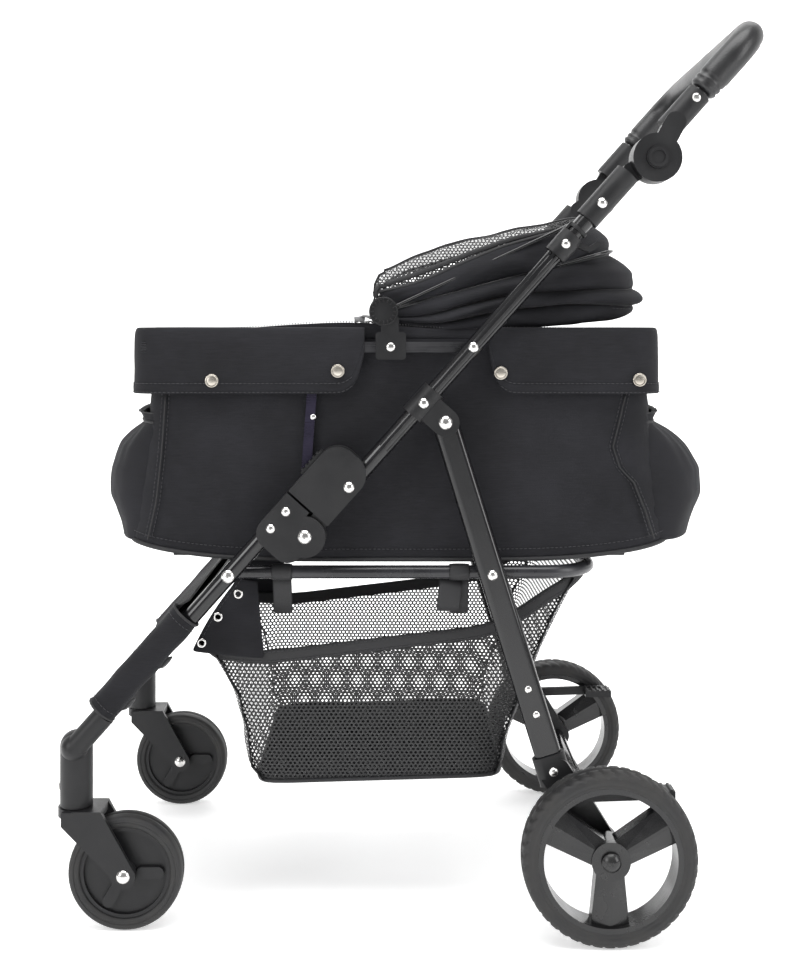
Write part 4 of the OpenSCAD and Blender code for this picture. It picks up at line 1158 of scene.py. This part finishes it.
# ---- hinge marks ----
# The canopy's hinge discs are moulded with short raised ticks round the rim,
# which show the stops of the ratchet inside.
for side, label in ((-1, "left"), (1, "right")):
    face = side * max(abs(v) for v in (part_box("canopy_hinges")[0].y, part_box("canopy_hinges")[1].y))
    ticks = []
    for k in range(16):
        turn = math.radians(22.5 * k)
        way = Vector((math.cos(turn), 0, math.sin(turn)))
        tick = [Vector((hinge.x, face, hinge.z)) + way * r for r in (0.0105, 0.0142)]
        ticks.append(tube(tick, 0.0006, sides=6))
    ring_line = [Vector((hinge.x + 0.0154 * math.cos(a), face, hinge.z + 0.0154 * math.sin(a)))
                 for a in (math.radians(10 * k) for k in range(36))]
    ticks.append(tube(ring_line, 0.0007, closed=True, sides=6))
    marks_piece = make("hinge_ticks_" + label, ticks, black_nylon)
    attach(marks_piece, "top_frame")

# ---- shopping basket ----
# Coarse knitted mesh, open at the top, hangs under the seat rail from bound
# hems. Solid cloth corners with eyelets tie it to the front legs.
basket_net = net_finish("basket_net", 0.0052, 0.28, (0.010, 0.010, 0.011))
front_wall = [(-0.1700, 0.1470), (-0.1835, 0.1640), (-0.1875, 0.1900), (-0.1890, 0.2100),
              (-0.1990, 0.2480), (-0.2310, 0.3032)]
rear_wall = [(0.1080, 0.1520), (0.1165, 0.1680), (0.1200, 0.1971), (0.1380, 0.2420),
             (0.1538, 0.2852), (0.1630, 0.3066), (0.1899, 0.3620), (0.2120, 0.3975)]
side_hem = [(0.3032, -1.0), (0.2965, -0.926), (0.2931, -0.68), (0.2976, -0.36), (0.3078, 0.02), (0.3191, 0.5),
            (0.3270, 0.67), (0.3480, 0.79), (0.3733, 0.92), (0.3975, 1.0)]
basket_floor = 0.1476
ring_steps = []
for k in range(200):
    turn = 2 * math.pi * (k + 0.5) / 200
    power = 0.16
    ring_steps.append((math.copysign(abs(math.cos(turn)) ** power, math.cos(turn)),
                       math.copysign(abs(math.sin(turn)) ** power, math.sin(turn))))


def basket_point(along, across_share, rise, out=0.0):
    hem = read_off(side_hem, along)
    foot = basket_floor + 0.004 * (along + 1)
    z = foot + (hem - foot) * rise
    x0, x1 = read_off(front_wall, z), read_off(rear_wall, z)
    half = 0.158 + 0.011 * rise
    ripple = 0.6 + 0.4 * noise.noise(Vector((along * 3, rise * 2, 0)))
    slack = 0.0055 * math.sin(math.pi * min(1, rise)) * (1 - abs(along) ** 6) * ripple
    x = x0 + (x1 - x0) * (along + 1) / 2
    y = across_share * (half + (slack if abs(across_share) > 0.9 else 0) + out)
    ends = creased((x, y, z), 0.03, 0.0018)
    return Vector((x + (math.copysign(ends + out, along) if abs(along) > 0.9 else 0), y, z))


net_rows = []
for k in range(19):
    rise = k / 18
    net_rows.append([basket_point(c, d, rise) for c, d in ring_steps])
basket_walls = settle(make("basket_net", [grid(net_rows, True)], basket_net), 0, 1)
floor_rows = []
for share in (1.0, 0.97, 0.9, 0.7, 0.45, 0.2):
    row = []
    for c, d in ring_steps:
        p = basket_point(c, d, 0.0)
        centre = Vector((-0.031, 0, p.z))
        q = centre.lerp(p, share)
        q.z -= 0.0035 * (1 - share ** 2) - creased((q.x, q.y, 0), 0.05, 0.0015)
        row.append(q)
    floor_rows.append(row)
points, faces = grid(floor_rows, True)
faces.append(tuple(range(len(points) - len(ring_steps), len(points))))
basket_base = settle(make("basket_base", [(points, faces)], black_polyester), 0.0016, 0)
hem_path = net_rows[-1]
foot_path = [basket_point(c, d, 0.0, 0.001) for c, d in ring_steps]
corner_paths = []
for c_sign in (-1, 1):
    for d_sign in (-1, 1):
        corner_paths.append([basket_point(c_sign * 0.947, d_sign * 0.947, k / 18, 0.0006) for k in range(19)])
basket_bands = make(
    "basket_binding",
    [tube(hem_path, 0.0012, closed=True, sides=10, flat=6.5, flat_way=(0, 0, 1))]
    + [tube(foot_path, 0.0022, closed=True)]
    + [tube(path, 0.0010, sides=10, flat=5.0, flat_way=(0, 1, 0)) for path in corner_paths],
    hem_tape,
)
threads = []
for drop in (-0.0052, 0.0052):
    line = [p + Vector((0, math.copysign(0.0013, p.y) if abs(p.y) > 0.15 else 0, drop)) for p in hem_path]
    threads += stitch_line(line + line[:1])
corner_rows_all, eyelets = [], []
eyelet_profile = [(0.0030, -0.0006), (0.0030, 0.0008), (0.0038, 0.0014), (0.0052, 0.0010),
                  (0.0056, 0.0), (0.0054, -0.0006)]
for side in (-1, 1):
    top, low_front, low_back = (-0.190, 0.384), (-0.243, 0.300), (-0.160, 0.2915)
    rows = []
    for i in range(15):
        share = i / 14
        fx = top[0] + (low_front[0] - top[0]) * share - 0.004 * math.sin(math.pi * share)
        fz = top[1] + (low_front[1] - top[1]) * share
        bx = top[0] + 0.022 + (low_back[0] - top[0] - 0.022) * share
        bz = top[1] - 0.004 + (low_back[1] - top[1] + 0.004) * share
        row = []
        for j in range(11):
            v = j / 10
            x, z = fx + (bx - fx) * v, fz + (bz - fz) * v
            y = side * (0.1735 + 0.003 * math.sin(math.pi * v) * share - 0.0015 * share)
            row.append((x, y + creased((x, z, side), 0.02, 0.0018), z))
        rows.append(row)
    corner_rows_all.append(grid(rows))
    for x, z in ((-0.1955, 0.366), (-0.2185, 0.340), (-0.2370, 0.3105)):
        eyelets.append(turned(eyelet_profile, (x + 0.006, side * 0.1752, z), (0, side, 0), 20))
    edge = [Vector(row[0]) for row in rows]
    threads += stitch_line([p + Vector((0.005, side * 0.0012, 0)) for p in edge])
basket_corners = settle(make("basket_corners", corner_rows_all, black_polyester), 0.0015, 1)
basket_eyelets = make("basket_eyelets", eyelets, nickel)
basket_thread = make("basket_stitches", threads, sewing_thread)

# ---- rail straps ----
# Hook-and-loop straps wrap the seat rail and hold the bag and basket to it; the
# spare end of each rear strap hangs down.
strap_parts = []
rail_side, rail_height = 0.187, 0.393
for side in (-1, 1):
    for x in (-0.139, 0.060):
        ring_line = []
        for k in range(20):
            turn = 2 * math.pi * k / 20
            y = side * rail_side + 0.0090 * math.cos(turn)
            ring_line.append((x, y, rail_height + 0.0088 * math.sin(turn)))
        strap_parts.append(tube(ring_line, 0.0009, closed=True, sides=12, flat=12.5, flat_way=(1, 0, 0)))
        fall = ((0.187, 0.3842), (0.183, 0.375), (0.178, 0.362), (0.174, 0.345))
        hanging = [(x, side * y, z) for y, z in fall]
        strap_parts.append(tube(hanging, 0.0009, sides=12, flat=12.0, flat_way=(1, 0, 0)))
    x = 0.051
    tail = [(x, side * 0.1885, 0.3840), (x - 0.001, side * 0.190, 0.376), (x - 0.002, side * 0.1895, 0.366),
            (x - 0.003, side * 0.187, 0.356), (x - 0.003, side * 0.185, 0.349)]
    strap_parts.append(tube(tail, 0.0012, sides=12, flat=11.0, flat_way=(1, 0, 0)))
rail_straps = make("rail_straps", strap_parts, hem_tape)

basket_pieces = [basket_walls, basket_base, basket_bands, basket_corners, basket_eyelets, basket_thread]
for piece in basket_pieces + [rail_straps]:
    piece.data.transform(Matrix.Translation((aft, 0, 0)))
    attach(piece, "seat_frame")
    if piece is not rail_straps:
        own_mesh(piece)
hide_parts("basket")

# ---- small rivets ----
# Nickel-plated blind rivets hold the handle arm, the rear leg's liner, the canopy
# hinge's clip and the link bar's tab. Only their domed heads show.
head_shape = [(1.0, -0.15), (1.0, 0.0), (0.93, 0.19), (0.78, 0.34), (0.5, 0.46), (0.2, 0.5), (0.02, 0.505)]
small_heads = [
    ("handle", on_tube(0.646, 0.0, 0.0), 0.2218, 0.0052),
    ("rear_frame", Vector((0.135 + aft, 0, 0.267)), 0.2099, 0.0042),
    ("rear_frame", Vector((0.144 + aft, 0, 0.239)), 0.2099, 0.0042),
    ("top_frame", Vector((hinge.x + 0.008, 0, hinge.z - 0.040)), 0.1957, 0.0056),
    ("link_frame", Vector((-0.104 + aft, 0, 0.567)), 0.1879, 0.0036),
]
for body in ("handle", "rear_frame", "top_frame", "link_frame"):
    heads = []
    for rides_on, at, stand, size in small_heads:
        if rides_on == body:
            profile = [(r * size, h * size) for r, h in head_shape]
            heads += [turned(profile, (at.x, side * stand, at.z), (0, side, 0), 20) for side in (-1, 1)]
    small_rivets = make(body + "_small_rivets", heads, nickel)
    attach(small_rivets, body)
